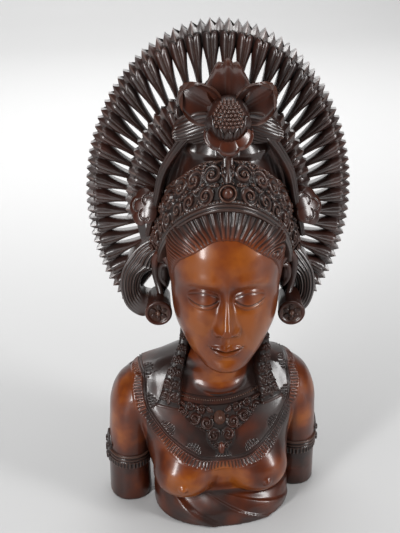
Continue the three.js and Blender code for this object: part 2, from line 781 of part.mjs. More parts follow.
// Carved tassels that hang from the ears over the shoulders beside the neck.
function tassels() {
  const bodies = [];
  for (const side of SIDES) {
    const path = new THREE.CatmullRomCurve3([
      point(side * 30, -12, 160),
      point(side * 31, -19, 142),
      point(side * 34, -23, 126),
      point(CHEST_X + side * 39, -27, 113),
      point(CHEST_X + side * 42, -30, 104),
    ]);
    bodies.push(ridgeAlong(path, 5, () => point(side * 0.4, -1, 0.3), (t) => 3.5 + 5.5 * t, 14, leafRing));
    for (const drop of [0.5, 0.85]) {
      const place = path.getPoint(drop);
      bodies.push(ball(place, point(4.6, 3.5, 4.6), 4, 2));
    }
  }
  return joined(bodies);
}

// Bands round the upper arms, with a leaf standing on the outer side.
function armBands() {
  const bodies = [];
  const middleY = (ARM[0].front + ARM[0].back) / 2;
  for (const side of SIDES) {
    const outerX = CHEST_X + side * (ARM_X + ARM_HALF_WIDTH);
    bodies.push(profileBody(armOn(side), BAND_Z - BAND_HALF_HEIGHT, BAND_Z + BAND_HALF_HEIGHT, 1, 10, 1));
    const leaf = new THREE.CatmullRomCurve3([
      point(outerX + side * 1.5, middleY, BAND_Z - 9),
      point(outerX + side * 2.5, middleY, BAND_Z),
      point(outerX + side, middleY, BAND_Z + 20),
    ]);
    const outward = () => point(side, 0, 0);
    bodies.push(ridgeAlong(leaf, 3, outward, (t) => 8 * Math.sin(Math.PI * (0.25 + 0.7 * t)), 6));
  }
  return joined(bodies);
}

// Sash wound round the waist: folds that slant down from the viewer's left to the right.
const SASH_FOLDS = [
  [[-48, 20], [-30, 15], [-17, 8]],
  [[-22, 20], [-10, 14], [-7, 4]],
  [[-12, 18], [6, 9], [24, 4]],
  [[2, 21], [24, 14], [46, 10]],
];

function sash() {
  const lift = 1.5;
  const bodies = SASH_FOLDS.map((corners) => {
    const places = corners.map(([x, z]) => point(x, frontOf(TORSO, x, z) - lift, z));
    return ridgeAlong(new THREE.CatmullRomCurve3(places), 3, forwards, () => 2.5, 4);
  });
  return joined(bodies);
}

// Head with its dress, turned as one.
function dressedHead() {
  const fanAndWings = joined([fan(), earWings()]).translate([FAN_X, 0, 0]);
  const dressed = joined([head(), hair(), ears(), earPlugs(), crown(), flower(), fanAndWings]);
  return dressed.rotate([0, 0, HEAD_TURN]).translate([HEAD_X, 0, 0]);
}

function bust() {
  let body = joined([
    torsoAndArms(),
    profileBody(NECK, NECK[0].z, NECK.at(-1).z, 3, 12),
    dressedHead(),
    capeEdge(),
    necklace(),
    tassels(),
    armBands(),
    sash(),
  ]);
  const box = body.boundingBox();
  const middle = [0, 1].map((axis) => (box.min[axis] + box.max[axis]) / 2);
  body = body.translate([-middle[0], -middle[1], 0]);
  const mesh = body.getMesh();
  const geometry = new THREE.BufferGeometry();
  geometry.setAttribute('position', new THREE.BufferAttribute(mesh.vertProperties, 3));
  geometry.setIndex(new THREE.BufferAttribute(mesh.triVerts, 1));
  geometry.computeVertexNormals();
  return geometry;
}

const rosewood = new THREE.MeshStandardMaterial({ color: 0x5a2f1c, roughness: 0.32, metalness: 0 });

const figure = new THREE.Group();
const dancerBust = new THREE.Mesh(bust(), rosewood);
dancerBust.name = 'dancer_bust';
figure.add(dancerBust);

export default figure;
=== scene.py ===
"""A carved rosewood bust of a dancer in a fan headdress: surfaces, finish, light and camera.

Shapes are worked out in millimetres in the axis frame, with +Z up, the figure looking
along -Y, and the axis of the neck at the origin. Pieces of the head use the head's own
frame first, which is turned a little about that axis.
"""

import math

import bpy
import numpy as np
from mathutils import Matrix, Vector, kdtree


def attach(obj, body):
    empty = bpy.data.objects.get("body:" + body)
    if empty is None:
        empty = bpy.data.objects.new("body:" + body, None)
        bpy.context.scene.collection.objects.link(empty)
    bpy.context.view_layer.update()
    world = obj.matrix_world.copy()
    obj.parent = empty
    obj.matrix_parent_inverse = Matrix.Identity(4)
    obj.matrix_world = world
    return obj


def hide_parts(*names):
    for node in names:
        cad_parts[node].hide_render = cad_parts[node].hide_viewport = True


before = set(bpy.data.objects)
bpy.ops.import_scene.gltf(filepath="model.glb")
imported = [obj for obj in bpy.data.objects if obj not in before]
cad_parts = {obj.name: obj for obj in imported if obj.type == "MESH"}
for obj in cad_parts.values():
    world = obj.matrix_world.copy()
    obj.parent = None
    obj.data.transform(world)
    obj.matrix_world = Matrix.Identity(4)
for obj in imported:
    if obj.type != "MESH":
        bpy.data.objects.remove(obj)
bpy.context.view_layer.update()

# Place of the neck's axis in the part's frame.
AXIS_PLACE = np.array([-1.754, 13.465, 0.0])

HEAD_TURN = math.radians(-8)
HEAD_X = 4.2
FAN_X = -5.0

CHEST_X = -3.0
NECKLACE_X = -5.0
SIDES = (-1, 1)


# Camera.

IMAGE_LONG_SIDE = 533
FOCAL_PIXELS = 1100
CAMERA_AIM = np.array([-15.0, 0.0, 211.0])
CAMERA_DISTANCE = 852.0
CAMERA_AZIMUTH = math.radians(-8.5)
CAMERA_ELEVATION = math.radians(27)


def in_metres(points):
    """Points of the axis frame, in millimetres, as points of the part's frame in metres."""
    return (np.asarray(points, float) + AXIS_PLACE) / 1000


def add_camera():
    """The camera that the picture is taken with."""
    data = bpy.data.cameras.new("camera")
    data.sensor_width = 36
    data.lens = FOCAL_PIXELS / IMAGE_LONG_SIDE * data.sensor_width
    camera = bpy.data.objects.new("camera", data)
    bpy.context.collection.objects.link(camera)
    backwards = Vector((
        math.sin(CAMERA_AZIMUTH) * math.cos(CAMERA_ELEVATION),
        -math.cos(CAMERA_AZIMUTH) * math.cos(CAMERA_ELEVATION),
        math.sin(CAMERA_ELEVATION),
    ))
    camera.location = Vector(in_metres(CAMERA_AIM)) + backwards * (CAMERA_DISTANCE / 1000)
    camera.rotation_mode = "QUATERNION"
    camera.rotation_quaternion = (-backwards).to_track_quat("-Z", "Y")
    bpy.context.scene.camera = camera


add_camera()
# Plain display curve: the backdrop then needs no more light than the wood does.
bpy.context.scene.view_settings.view_transform = "Standard"


# Numbers and curves.

def bump(offset, spread):
    """Smooth bump that is 1 at the centre and fades out by about two spreads."""
    return np.exp(-((offset / spread) ** 2))


def step(value, start, end):
    """Smooth step from 0 at start to 1 at end."""
    t = np.clip((value - start) / (end - start), 0, 1)
    return t * t * (3 - 2 * t)


def smooth_min(a, b, width):
    """The smaller of two distances, blended where they are within a width of each other."""
    mix = np.clip(0.5 + 0.5 * (b - a) / width, 0, 1)
    return b + (a - b) * mix - width * mix * (1 - mix)


def follow(z, stops, values):
    """Values between stops on a smooth curve through them."""
    stops = np.asarray(stops, float)
    values = np.asarray(values, float)
    i = np.clip(np.searchsorted(stops, z, side="right") - 1, 0, len(stops) - 2)
    before = np.maximum(i - 1, 0)
    after = np.minimum(i + 2, len(stops) - 1)
    span = stops[i + 1] - stops[i]
    t = np.clip((z - stops[i]) / span, 0, 1)
    slope_a = span * (values[i + 1] - values[before]) / (stops[i + 1] - stops[before])
    slope_b = span * (values[after] - values[i]) / (stops[after] - stops[i])
    t2, t3 = t * t, t * t * t
    return (
        (2 * t3 - 3 * t2 + 1) * values[i] + (t3 - 2 * t2 + t) * slope_a
        + (3 * t2 - 2 * t3) * values[i + 1] + (t3 - t2) * slope_b
    )


def profile(stops):
    """Profile from rows of height, middle, half width, front and back."""
    return {
        "z": [row[0] for row in stops],
        "x": [row[1] for row in stops],
        "half": [row[2] for row in stops],
        "front": [row[3] for row in stops],
        "back": [row[4] for row in stops],
    }


def sizes(shape, z):
    """Middle, half width, front and back of a profile at a height."""
    return [follow(z, shape["z"], shape[key]) for key in ("x", "half", "front", "back")]


def lengths_along(path):
    """How far each point of a path lies from its start, along the path."""
    return np.concatenate([[0], np.cumsum(np.linalg.norm(np.diff(path, axis=0), axis=1))])


def evenly(path, count):
    """Evenly spaced points along a path."""
    reach = lengths_along(path)
    even = np.linspace(0, reach[-1], count)
    return np.stack([np.interp(even, reach, column) for column in path.T], 1)


def spline(points, count):
    """Evenly spaced points on a smooth curve through the given ones."""
    points = np.asarray(points, float)
    stops = np.arange(len(points))
    fine = np.linspace(0, len(points) - 1, count * 8)
    return evenly(np.stack([follow(fine, stops, column) for column in points.T], 1), count)


def unit(vectors):
    """Vectors brought to a length of 1."""
    return vectors / np.maximum(np.linalg.norm(vectors, axis=-1, keepdims=True), 1e-9)


def places(x, y, z):
    """Points from coordinates that are spread over one another."""
    return np.stack(np.broadcast_arrays(x, y, z), -1)


def all_round(count, start=-math.pi):
    """Even angles once round."""
    return np.linspace(start, start + 2 * math.pi, count, endpoint=False)


def turn_head(points):
    """Points of the head's own frame in the axis frame."""
    c, s = math.cos(HEAD_TURN), math.sin(HEAD_TURN)
    x, y, z = np.moveaxis(np.asarray(points, float), -1, 0)
    return np.stack([x * c - y * s + HEAD_X, x * s + y * c, z], -1)


def in_place(points):
    """Points of the axis frame as they are."""
    return points


def turn_fan(points):
    """Points of the fan's frame, beside the head's, in the axis frame."""
    return turn_head(points + np.array([FAN_X, 0, 0]))


def capped(values):
    """Rows with the first and the last repeated, for a net whose ends are closed."""
    return np.concatenate([values[:1], values, values[-1:]])


def close_ends(net):
    """The net with a point added at each end to close it."""
    first, last = (np.broadcast_to(row.mean(0), row.shape)[None] for row in (net[0], net[-1]))
    return np.concatenate([first, net, last])


# Meshes.

def quads_between(index):
    """Quads between neighbouring rows and columns of a table of point numbers."""
    corners = [index[:-1, :-1], index[:-1, 1:], index[1:, 1:], index[1:, :-1]]
    return np.stack([corner.ravel() for corner in corners], 1)


class Carving:
    """Collects surfaces, in millimetres, and makes one piece of them.

    Every point carries a tone, 0 for dark wood to 1 for amber, and a value for the painted
    shade in cuts and at the feet of ornament, 0 on open surfaces to 1 in deep cuts.
    """

    def __init__(self, place=turn_head):
        self.place = place
        self.points, self.faces, self.tones, self.cut_shades = [], [], [], []
        self.count = 0

    def add(self, points, faces, tone, cut_shade):
        """One surface, whose faces name points by their number in it."""
        points = self.place(np.asarray(points, float).reshape(-1, 3))
        self.points.append(points)
        self.faces.extend((np.asarray(faces) + self.count).tolist())
        for values, value in ((self.tones, tone), (self.cut_shades, cut_shade)):
            values.append(np.broadcast_to(np.asarray(value, float).reshape(-1), (len(points),)))
        self.count += len(points)

    def grid(self, points, loop=False, flip=False, tone=0.0, cut_shade=0.0):
        """Surface through rows of points, each row closed to a ring when loop is true."""
        rows, columns = points.shape[:2]
        index = np.arange(rows * columns).reshape(rows, columns)
        if loop:
            index = np.concatenate([index, index[:, :1]], 1)
        faces = quads_between(index)
        self.add(points, faces[:, ::-1] if flip else faces, tone, cut_shade)

    def closed(self, net, flip=False, tone=0.0, cut_shade=0.0):
        """Surface through rings of points, closed at both of its ends."""
        tone, cut_shade = (capped(np.broadcast_to(value, net.shape[:2])) for value in (tone, cut_shade))
        self.grid(close_ends(net), True, flip, tone, cut_shade)

    def piece(self, name, material, sharp_over=None, normals=None):
        """The mesh object, which rides on the block and stands for it."""
        mesh = bpy.data.meshes.new(name)
        mesh.from_pydata(in_metres(np.concatenate(self.points)).tolist(), [], self.faces)
        mesh.polygons.foreach_set("use_smooth", np.ones(len(mesh.polygons), bool))
        for key, values in (("tone", self.tones), ("cut_shade", self.cut_shades)):
            layer = mesh.attributes.new(key, "FLOAT", "POINT")
            layer.data.foreach_set("value", np.concatenate(values).astype(np.float32))
        mesh.materials.append(material)
        mesh.update()
        if sharp_over is not None:
            mesh.set_sharp_from_angle(angle=math.radians(sharp_over))
        if normals is not None:
            mesh.normals_split_custom_set_from_vertices(normals.tolist())
        piece = bpy.data.objects.new(name, mesh)
        bpy.context.collection.objects.link(piece)
        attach(piece, "root")
        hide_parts("dancer_bust")


def surface_net(field, corner, cell):
    """Smooth quads round the inside of a field of distances, which is below zero there."""
    inside = field < 0
    shape = np.array(field.shape) - 1
    offsets = [(i, j, k) for i in (0, 1) for j in (0, 1) for k in (0, 1)]

    def part(values, offset):
        i, j, k = offset
        return values[i:i + shape[0], j:j + shape[1], k:k + shape[2]]

    count = sum(part(inside, offset).astype(np.int8) for offset in offsets)
    active = (count > 0) & (count < 8)
    cells = np.argwhere(active)
    values = {offset: part(field, offset)[active] for offset in offsets}
    total = np.zeros((len(cells), 3))
    crossings = np.zeros(len(cells))
    for a in offsets:
        for axis in range(3):
            if a[axis] == 0:
                b = tuple(1 if k == axis else a[k] for k in range(3))
                cross = (values[a] < 0) != (values[b] < 0)
                span = np.where(cross, values[a] - values[b], 1)
                t = np.where(cross, values[a] / span, 0)
                place = np.tile(np.array(a, float), (len(cells), 1))
                place[:, axis] = t
                total[cross] += place[cross]
                crossings += cross
    points = corner + cell * (cells + total / crossings[:, None])
    index = np.full(active.shape, -1)
    index[active] = np.arange(len(cells))
    faces = []
    for axis in range(3):
        u, v = [k for k in range(3) if k != axis]
        low = [slice(None)] * 3
        high = [slice(None)] * 3
        low[axis] = slice(0, -1)
        high[axis] = slice(1, None)
        change = inside[tuple(low)] != inside[tuple(high)]
        for k in (u, v):
            edge = [slice(None)] * 3
            edge[k] = slice(1, -1)
            change = change[tuple(edge)]
        at = np.argwhere(change)
        at[:, u] += 1
        at[:, v] += 1
        outwards = inside[tuple(at.T)]
        ring = []
        for du, dv in ((-1, -1), (0, -1), (0, 0), (-1, 0)):
            near = at.copy()
            near[:, u] += du
            near[:, v] += dv
            ring.append(index[tuple(near.T)])
        quads = np.stack(ring, 1)
        turned = outwards if axis != 1 else ~outwards
        quads[~turned] = quads[~turned][:, ::-1]
        faces.append(quads)
    return points, np.concatenate(faces)


# Torso, arms and neck.

ARM_X = 70.5
ARM_HALF_WIDTH = 17.5
BAND_Z = 40.0
SQUARENESS = 2.2

TORSO = profile([
    (0, 1, 56, -57, 35),
    (12, 1, 56, -55, 35),
    (25, 0, 54, -44, 35),
    (40, CHEST_X * 0.3, 57, -46, 36),
    (62, CHEST_X * 0.6, 60, -47, 40),
    (85, CHEST_X, 68, -41, 44),
    (105, CHEST_X, 72, -30, 44),
    (117, CHEST_X, 64, -22, 40),
    (127, CHEST_X, 47, -20, 33),
    (139, CHEST_X, 27, -24, 22),
    (150, CHEST_X, 12, -14, 12),
])

ARM = profile([
    (0, ARM_X, ARM_HALF_WIDTH, -12, 32),
    (45, ARM_X, ARM_HALF_WIDTH - 0.5, -13, 32),
    (75, ARM_X - 2, ARM_HALF_WIDTH, -17, 33),
    (93, ARM_X - 4, ARM_HALF_WIDTH + 0.5, -17, 33),
    (108, ARM_X - 9, ARM_HALF_WIDTH - 1, -12, 30),
    (118, ARM_X - 17, ARM_HALF_WIDTH - 6, -5, 23),
])

NECK_FOOT_X = CHEST_X * 0.7

NECK = profile([
    (100, CHEST_X, 26, -24, 22),
    (118, NECK_FOOT_X, 22.5, -26, 18),
    (140, CHEST_X * 0.3, 22, -28, 17),
    (190, 0, 25, -30, 20),
])

NECK_RING_Y = -2.5

# Heights where the torso, the arms and the neck are cut off inside of one another.
TORSO_TOP = 150
ARM_TOP = 120
NECK_BOTTOM = 100

BUST_CENTRE = np.array([29.0, -33.0, 45.0])
BUST_RADII = np.array([26.0, 25.0, 23.0])
BUST_TIP_RADII = (2.9, 2.9, 2.9)


def level_distance(shape, x, y, z):
    """Distance outwards from the body of level sections of a profile."""
    middle, half, front, back = sizes(shape, z)
    dx = x - middle
    dy = y - (front + back) / 2
    depth = (back - front) / 2
    ratio = np.abs(dx / half) ** SQUARENESS + np.abs(dy / depth) ** SQUARENESS
    ratio = np.maximum(ratio, 1e-6) ** (1 / SQUARENESS)
    reach = np.sqrt(dx * dx + dy * dy) / ratio
    return (ratio - 1) * np.maximum(reach, 1)


def ball_distance(x, y, z, centre, radii):
    """Distance outwards from a ball with a radius along each axis."""
    ratio = np.sqrt(
        ((x - centre[0]) / radii[0]) ** 2
        + ((y - centre[1]) / radii[1]) ** 2
        + ((z - centre[2]) / radii[2]) ** 2
    )
    return (ratio - 1) * min(radii)


NECK_ROLL = {"radius": 21.0, "thickness": 4.6, "y": -3.5, "z": 120.5, "slope": 0.23}


def roll_distance(x, y, z):
    """Distance outwards from the roll at the foot of the neck."""
    dx = x - NECK_FOOT_X
    dy = y - NECK_ROLL["y"]
    rise = z - NECK_ROLL["z"] - NECK_ROLL["slope"] * dy
    return np.hypot(np.hypot(dx, dy) - NECK_ROLL["radius"], rise) - NECK_ROLL["thickness"]


def body_distance(x, y, z):
    """Distance outwards from the torso, arms, bust and neck."""
    body = np.maximum(level_distance(TORSO, x, y, z), (z - TORSO_TOP) * 0.8)
    neck = np.maximum(level_distance(NECK, x, y, z), NECK_BOTTOM - z)
    body = smooth_min(body, neck, 5)
    body = smooth_min(body, roll_distance(x, y, z), 3)
    for side in SIDES:
        arm = level_distance(ARM, side * (x - CHEST_X), y, z)
        arm = np.maximum(arm, (z - ARM_TOP) * 0.9)
        body = smooth_min(body, arm, 1.5 + 9 * step(z, 78, 104))
        centre = BUST_CENTRE * (side, 1, 1) + (CHEST_X, 0, 0)
        breast = ball_distance(x, y, z, centre, BUST_RADII)
        body = smooth_min(body, breast, 2.5 + 11 * step(z, 34, 62))
        tip = centre + (side * 5, -BUST_RADII[1] * 0.97, -3)
        body = smooth_min(body, ball_distance(x, y, z, tip, BUST_TIP_RADII), 2.8)
    return np.maximum(body, -z)


def slope_of(field, points):
    """How fast a field over space grows along each axis, at points."""
    reach = 0.15
    x, y, z = points.T
    return np.stack([
        field(x + reach, y, z) - field(x - reach, y, z),
        field(x, y + reach, z) - field(x, y - reach, z),
        field(x, y, z + reach) - field(x, y, z - reach),
    ], 1) / (2 * reach)


def drape(distance, points, rounds):
    """Points moved on to the surface where a distance is zero, and its normals there."""
    points = np.array(points, float)
    shape = points.shape
    points = points.reshape(-1, 3)
    for _ in range(rounds):
        slope = slope_of(distance, points)
        size = np.maximum((slope ** 2).sum(1), 0.05)
        move = np.clip(distance(*points.T) / size, -4, 4)
        points = points - slope * move[:, None]
    return points.reshape(shape), unit(slope_of(distance, points)).reshape(shape)


# Line of the cape's edge: how far across the chest from its middle, and height.
CAPE_LINE = [
    (0, 62), (11, 63.5), (19, 65.5), (26, 69), (33, 73), (42, 80), (48, 87), (54, 95),
    (57.5, 103),
]


def cape_edge_line():
    """Line of the cape's edge on the body, the way outwards from it, and lengths along it."""
    rising = [(CHEST_X + a, z) for a, z in CAPE_LINE]
    right = [(x, -60 + 0.3 * (z - 60), z) for x, z in rising]
    right += [(CHEST_X + 59, y, 122) for y in (-6, 4, 14, 24)]
    right += [(x, 55, z) for x, z in rising[::-1]]
    left = [(2 * CHEST_X - x, y, z) for x, y, z in right[::-1]]
    guess = np.array(left[:-1] + right, float)
    on_front = guess[:, 1] < -30
    on_back = guess[:, 1] > 50
    for _ in range(60):
        gap = np.clip(body_distance(*guess.T), -2, 4) * 0.7
        guess[:, 1] += np.where(on_front, gap, np.where(on_back, -gap, 0))
    loop, _ = drape(body_distance, guess, 8)
    line, normals = drape(body_distance, spline(loop, CAPE_EDGE_SAMPLES), 5)
    along = np.gradient(line, axis=0)
    outwards = unit(np.cross(unit(along), normals))
    return line, outwards, lengths_along(line)


def beyond_cape(points):
    """How far places on the body lie outside the cape's edge, below zero on the cape."""
    line, outwards, _ = CAPE_EDGE
    tree = kdtree.KDTree(len(line))
    for i, place in enumerate(line):
        tree.insert(place, i)
    tree.balance()
    found = [tree.find(point) for point in points.reshape(-1, 3)]
    nearest = np.array([index for _, index, _ in found])
    gap = np.array([distance for _, _, distance in found])
    sideways = ((points.reshape(-1, 3) - line[nearest]) * outwards[nearest]).sum(1)
    return (np.sign(sideways) * gap).reshape(points.shape[:-1])


CAPE_TONE = 0.10


def body_tone(points, beyond):
    """Tone of the wood: amber bust, neck and upper arms, dark cape, waist and back."""
    x, y, z = np.moveaxis(points, -1, 0)
    around_neck = np.hypot(x - NECK_FOOT_X, y - NECK_RING_Y)
    neck = 1 - step(around_neck, 26.5, 28.0)
    arm = step(np.abs(x - CHEST_X), 57, 60) * (beyond > 0)
    bust = 0.80 - 0.40 * step(z, 50, 66) - 0.25 * step(np.abs(x - CHEST_X), 44, 54)
    bare = np.where(arm > 0.5, 0.55 * step(z, 30, 62) + 0.14, bust)
    tone = CAPE_TONE + (bare - CAPE_TONE) * step(beyond, 0, 3)
    tone = np.where((z > 108) & (neck > 0), CAPE_TONE + 0.6 * neck, tone)
    tone = np.where(z < 27, 0.22, tone)
    return tone * (1 - 0.35 * step(y, -5, 25))


CAPE_EDGE_SAMPLES = 1240
CAPE_EDGE = cape_edge_line()
CAPE_LIFT = 0.9


# Folds: angle and height of the start, then of the end, spread, and height over the waist.
SASH_FOLDS = [
    (-60, 26, -12, 5, 3.0, 1.3), (-48, 20, -2, -3, 3.4, 1.5), (-20, 24, 34, 2, 2.8, 1.7),
    (-4, 24, 62, 7, 3.0, 1.6), (14, 22, 80, 16, 2.6, 1.2),
]


def sash_relief(x, y, z):
    """Height of the sash's folds over the waist."""
    turn = np.degrees(np.arctan2(x, -y))
    relief = np.zeros(np.shape(x))
    for start, high, end, low, spread, height in SASH_FOLDS:
        t = np.clip((turn - start) / (end - start), -0.15, 1.15)
        edge = z - (high + (low - high) * t)
        fold = np.where(edge > 0, bump(edge, spread * 0.45), bump(edge, spread * 1.8))
        fade = step(turn, start - 14, start + 4) * (1 - step(turn, end - 4, end + 14))
        relief = relief + height * fold * fade
    return relief * (1 - step(z, 24, 29)) * step(-y, 5, 20)


# Space that the body is looked for in, in cells of one size.
BODY_CELL = 1.1
BODY_LOW = np.array([-96.0, -64.0, -2.2])
BODY_HIGH = np.array([90.0, 50.0, 156.0])


def add_body(material):
    """Body with the cape's thickness and the sash's folds, flat underneath."""
    axes = [
        np.arange(low, high + BODY_CELL, BODY_CELL) for low, high in zip(BODY_LOW, BODY_HIGH)
    ]
    field = body_distance(*np.meshgrid(*axes, indexing="ij", sparse=True))
    points, faces = surface_net(field, BODY_LOW, BODY_CELL)
    flat = points[:, 2] < 0.8
    moved, normals = drape(body_distance, points, 2)
    points[~flat] = moved[~flat]
    points[:, 2] = np.maximum(points[:, 2], 0)
    x, y, z = points.T
    beyond = beyond_cape(points)
    under_strip = step(beyond, -8.4, -7.4) * (1 - step(beyond, 9.6, 11.0))
    lift = CAPE_LIFT * (1 - step(beyond, -9.6, -8.0)) - 1.1 * under_strip
    lift = lift + sash_relief(x, y, z)
    lift[flat] = 0
    slope = slope_of(sash_relief, points)
    slope -= normals * (slope * normals).sum(1, keepdims=True)
    shading = unit(normals - slope)
    shading[flat] = (0, 0, -1)
    points = points + normals * lift[:, None]
    tone = body_tone(points, beyond)
    # Painted shadow along the top of the sash, under the bust.
    cut_shade = 0.7 * (1 - step(np.abs(z - 25), 0, 3.5)) * (y < -20)
    carving = Carving(in_place)
    carving.add(points, faces, tone, cut_shade)
    carving.piece("bust_body", material, normals=shading)


# Cape's edge.

# Runs of columns across the strip: start, end and count, closest at the incised line.
CAPE_STRIP_COLUMNS = [(-10.5, -2.2, 11), (-1.8, 3.2, 17), (3.7, 12.5, 12)]
STROKE_SPACING = 2.5
STROKE_GROUP = 27.0


def add_cape_edge(material):
    """Double incised line with groups of short strokes outside and inside of it."""
    line, outwards, reach = CAPE_EDGE
    across = np.concatenate([np.linspace(*run) for run in CAPE_STRIP_COLUMNS])
    net = line[:, None] + outwards[:, None] * across[None, :, None]
    net, lifted = drape(body_distance, net, 5)
    u, v = np.broadcast_arrays(reach[:, None], across)
    behind = step(line[:, 1], 8, 14)[:, None]
    relief, cut_shade = cape_edge_relief(u, v, behind)
    tone = body_tone(net, v)
    net = net + lifted * relief[..., None]
    carving = Carving(in_place)
    carving.grid(net, flip=True, tone=tone, cut_shade=cut_shade)
    carving.piece("cape_edge", material)


def cape_edge_relief(u, v, behind):
    """Height over the body and painted shade in the cuts, along the line (u) and outwards from it
    (v).
    """
    inside = CAPE_LIFT - 0.08 + 0.20 * step(v, -10.5, -4)
    outside = 0.65 * (1 - step(v, 9.5, 12.5)) - 0.15
    base = inside + (outside - inside) * step(v, 0.3, 1.3)
    line = bump(v + 0.7, 0.5) + bump(v - 1.5, 0.55)
    stroke = (0.5 - 0.5 * np.cos(2 * np.pi * u / STROKE_SPACING)) ** 1.2
    outer_end = 9.0 + 0.8 * np.cos(2 * np.pi * u / 17)
    outer = step(v, 2.4, 3.2) * (1 - step(v, outer_end - 0.8, outer_end + 0.6))
    group = np.mod(u, STROKE_GROUP) / STROKE_GROUP
    in_group = step(group, 0.22, 0.26) * (1 - step(group, 0.74, 0.78))
    inner_end = -3.6 - 4.4 * np.sin(np.pi * np.clip((group - 0.24) / 0.52, 0, 1))
    inner = step(v, inner_end - 0.6, inner_end + 0.5) * (1 - step(v, -2.4, -1.7)) * in_group
    strokes = (outer + inner) * stroke * (1 - 0.85 * behind)
    # The cuts sink the surface and carry painted shade.
    cut = np.clip(0.9 * line + strokes, 0, 1)
    return base - cut, cut


# Head.

CHIN_Z = 146.0
HAIRLINE_Z = 259.0
FACE_HEIGHT = HAIRLINE_Z - CHIN_Z
BROW_Z = CHIN_Z + FACE_HEIGHT * 2 / 3
NOSE_BASE_Z = CHIN_Z + FACE_HEIGHT / 3
MOUTH_Z = CHIN_Z + FACE_HEIGHT * 0.225
EYE_Z = BROW_Z - 9
EYE_X = 16.5
NOSE_FRONT = -72.0

HEAD = profile([
    (CHIN_Z, 0, 10, -53, -34),
    (CHIN_Z + 5, 0, 20, -58.5, -20),
    (CHIN_Z + 12, 0, 27.5, -60, -4),
    (MOUTH_Z, 0, 34.5, -60, 8),
    (NOSE_BASE_Z, 0, 39, -61, 18),
    (200, 0, 41, -61.5, 26),
    (EYE_Z, 0, 41.5, -61.5, 32),
    (BROW_Z + 6, 0, 42, -63, 36),
    (245, 0, 41.5, -61, 38),
    (HAIRLINE_Z, 0, 39.5, -55, 38),
    (284, 0, 34, -45, 34),
])


def face_relief(x, z):
    """Height of the features over the plain head, and painted shade in their cuts."""
    side = np.abs(x)

    # Nose: a straight bridge that widens to a rounded tip between two wings.
    tip_z = NOSE_BASE_Z + 5.5
    down = np.clip((BROW_Z - z) / (BROW_Z - tip_z), 0, 1)
    crest = 1.2 + 11.0 * down ** 1.35
    under = np.where(z < tip_z, bump(tip_z - z, 4.2), 1)
    above = 1 - step(z, BROW_Z - 2, BROW_Z + 12)
    nose_half = 3.4 + 3.2 * down ** 2
    nose = crest * under * above * np.exp(-(side / nose_half) ** 2.4)
    wings = 3.6 * bump(side - 7.4, 2.6) * bump(z - NOSE_BASE_Z - 3.4, 3.4)
    nostril = bump(side - 4.2, 1.7) * bump(z - NOSE_BASE_Z - 0.2, 1.2)
    wing_edge = bump(side - 10.6, 1.0) * bump(z - NOSE_BASE_Z - 4, 3.6)

    # Brow: a clean arch, soft towards the forehead and hollow below.
    arch = BROW_Z + 5.4 - ((side - 19) / 17.5) ** 2 * np.where(side < 19, 3.6, 8.5)
    over = z - arch
    brow_span = step(side, 3, 11) * (1 - step(side, 30, 38))
    brow = 1.7 * brow_span * np.where(over > 0, bump(over, 6.0), bump(over, 4.0))

    # Socket, and a full lid that is closed over the eye along a calm line.
    socket = -4.0 * np.exp(-((side - EYE_X + 1) / 15) ** 4) * bump(z - EYE_Z - 2.0, 8.5)
    inner_corner = -1.2 * bump(side - 7.0, 4.5) * bump(z - EYE_Z + 0.5, 7)
    u = (side - EYE_X - 0.5) / 12.2
    w = (z - EYE_Z + 0.6) / 8.0
    dome = np.maximum(1 - u * u - w * w, 0)
    lid = 4.6 * dome ** 0.8
    lid_span = 1 - step(np.abs(u), 0.80, 1.0)
    lid_line = EYE_Z - 4.6 + 3.4 * u ** 2 - 0.4 * u
    below = z - lid_line
    slit = lid_span * bump(below, 0.6)
    lower_lid = 0.7 * lid_span * bump(below + 2.2, 1.5)
    fold_line = EYE_Z + 4.6 - 4.8 * u ** 2
    fold = lid_span * bump(z - fold_line, 0.6)

    # Mouth: two full lips under a shallow groove, with quiet corners.
    mouth_half = 13.4
    m = np.clip(side / mouth_half, 0, 1)
    lip_line = MOUTH_Z - 0.8 * bump(x, 3.4) + 1.5 * m ** 2
    upper_height = 5.0 * (1 - m ** 2.2) * (1 - 0.22 * bump(x, 1.8)) + 0.15
    lower_height = 6.2 * (1 - m ** 2.4) + 0.15
    up = (z - lip_line) / upper_height
    low = (lip_line - z) / lower_height
    fullness = (1 - m ** 3)
    upper_lip = 2.8 * fullness * np.sin(np.pi * np.clip(up, 0, 1) ** 0.75)
    lower_lip = 3.2 * fullness * np.sin(np.pi * np.clip(low, 0, 1) ** 0.8)
    muzzle = 3.0 * bump(x, 16) * bump(z - MOUTH_Z - 1, 11)
    parting = bump(z - lip_line, 0.7) * (1 - step(side, 11.5, 14))
    corner = bump(side - 13.2, 1.8) * bump(z - MOUTH_Z - 0.6, 2.0)
    groove = 0.45 * bump(side - 3.2, 1.4) - 0.6 * bump(x, 1.7)
    groove = groove * bump(z - MOUTH_Z - 8, 3.0)
    under_lip = -1.5 * bump(x, 9) * bump(z - MOUTH_Z + 9.6, 3.4)
    chin = 3.4 * bump(x, 11) * bump(z - CHIN_Z - 8.0, 7.5)
    cheek = 2.8 * bump(side - 24, 12) * bump(z - NOSE_BASE_Z - 9, 14)
    beside_mouth = side - 15 - (NOSE_BASE_Z - z) * 0.35
    fold_beside = -0.5 * bump(beside_mouth, 2.4) * bump(z - NOSE_BASE_Z + 3, 8)

    height = nose + wings + brow + socket + inner_corner + lid + lower_lid + muzzle
    height = height + upper_lip + lower_lip + groove + under_lip + chin + cheek + fold_beside
    cut_shade = np.zeros(np.shape(x))
    # Cuts: shape, depth, and share of painted shade.
    cuts = (
        (slit, 1.1, 1.0), (fold, 0.5, 0.5), (nostril, 1.0, 1.0), (wing_edge, 0.7, 0.4),
        (parting, 1.3, 0.9), (corner, 0.7, 0.0),
    )
    for cut, depth, share in cuts:
        height = height - depth * cut
        cut_shade = np.maximum(cut_shade, cut * share)
    return height, cut_shade


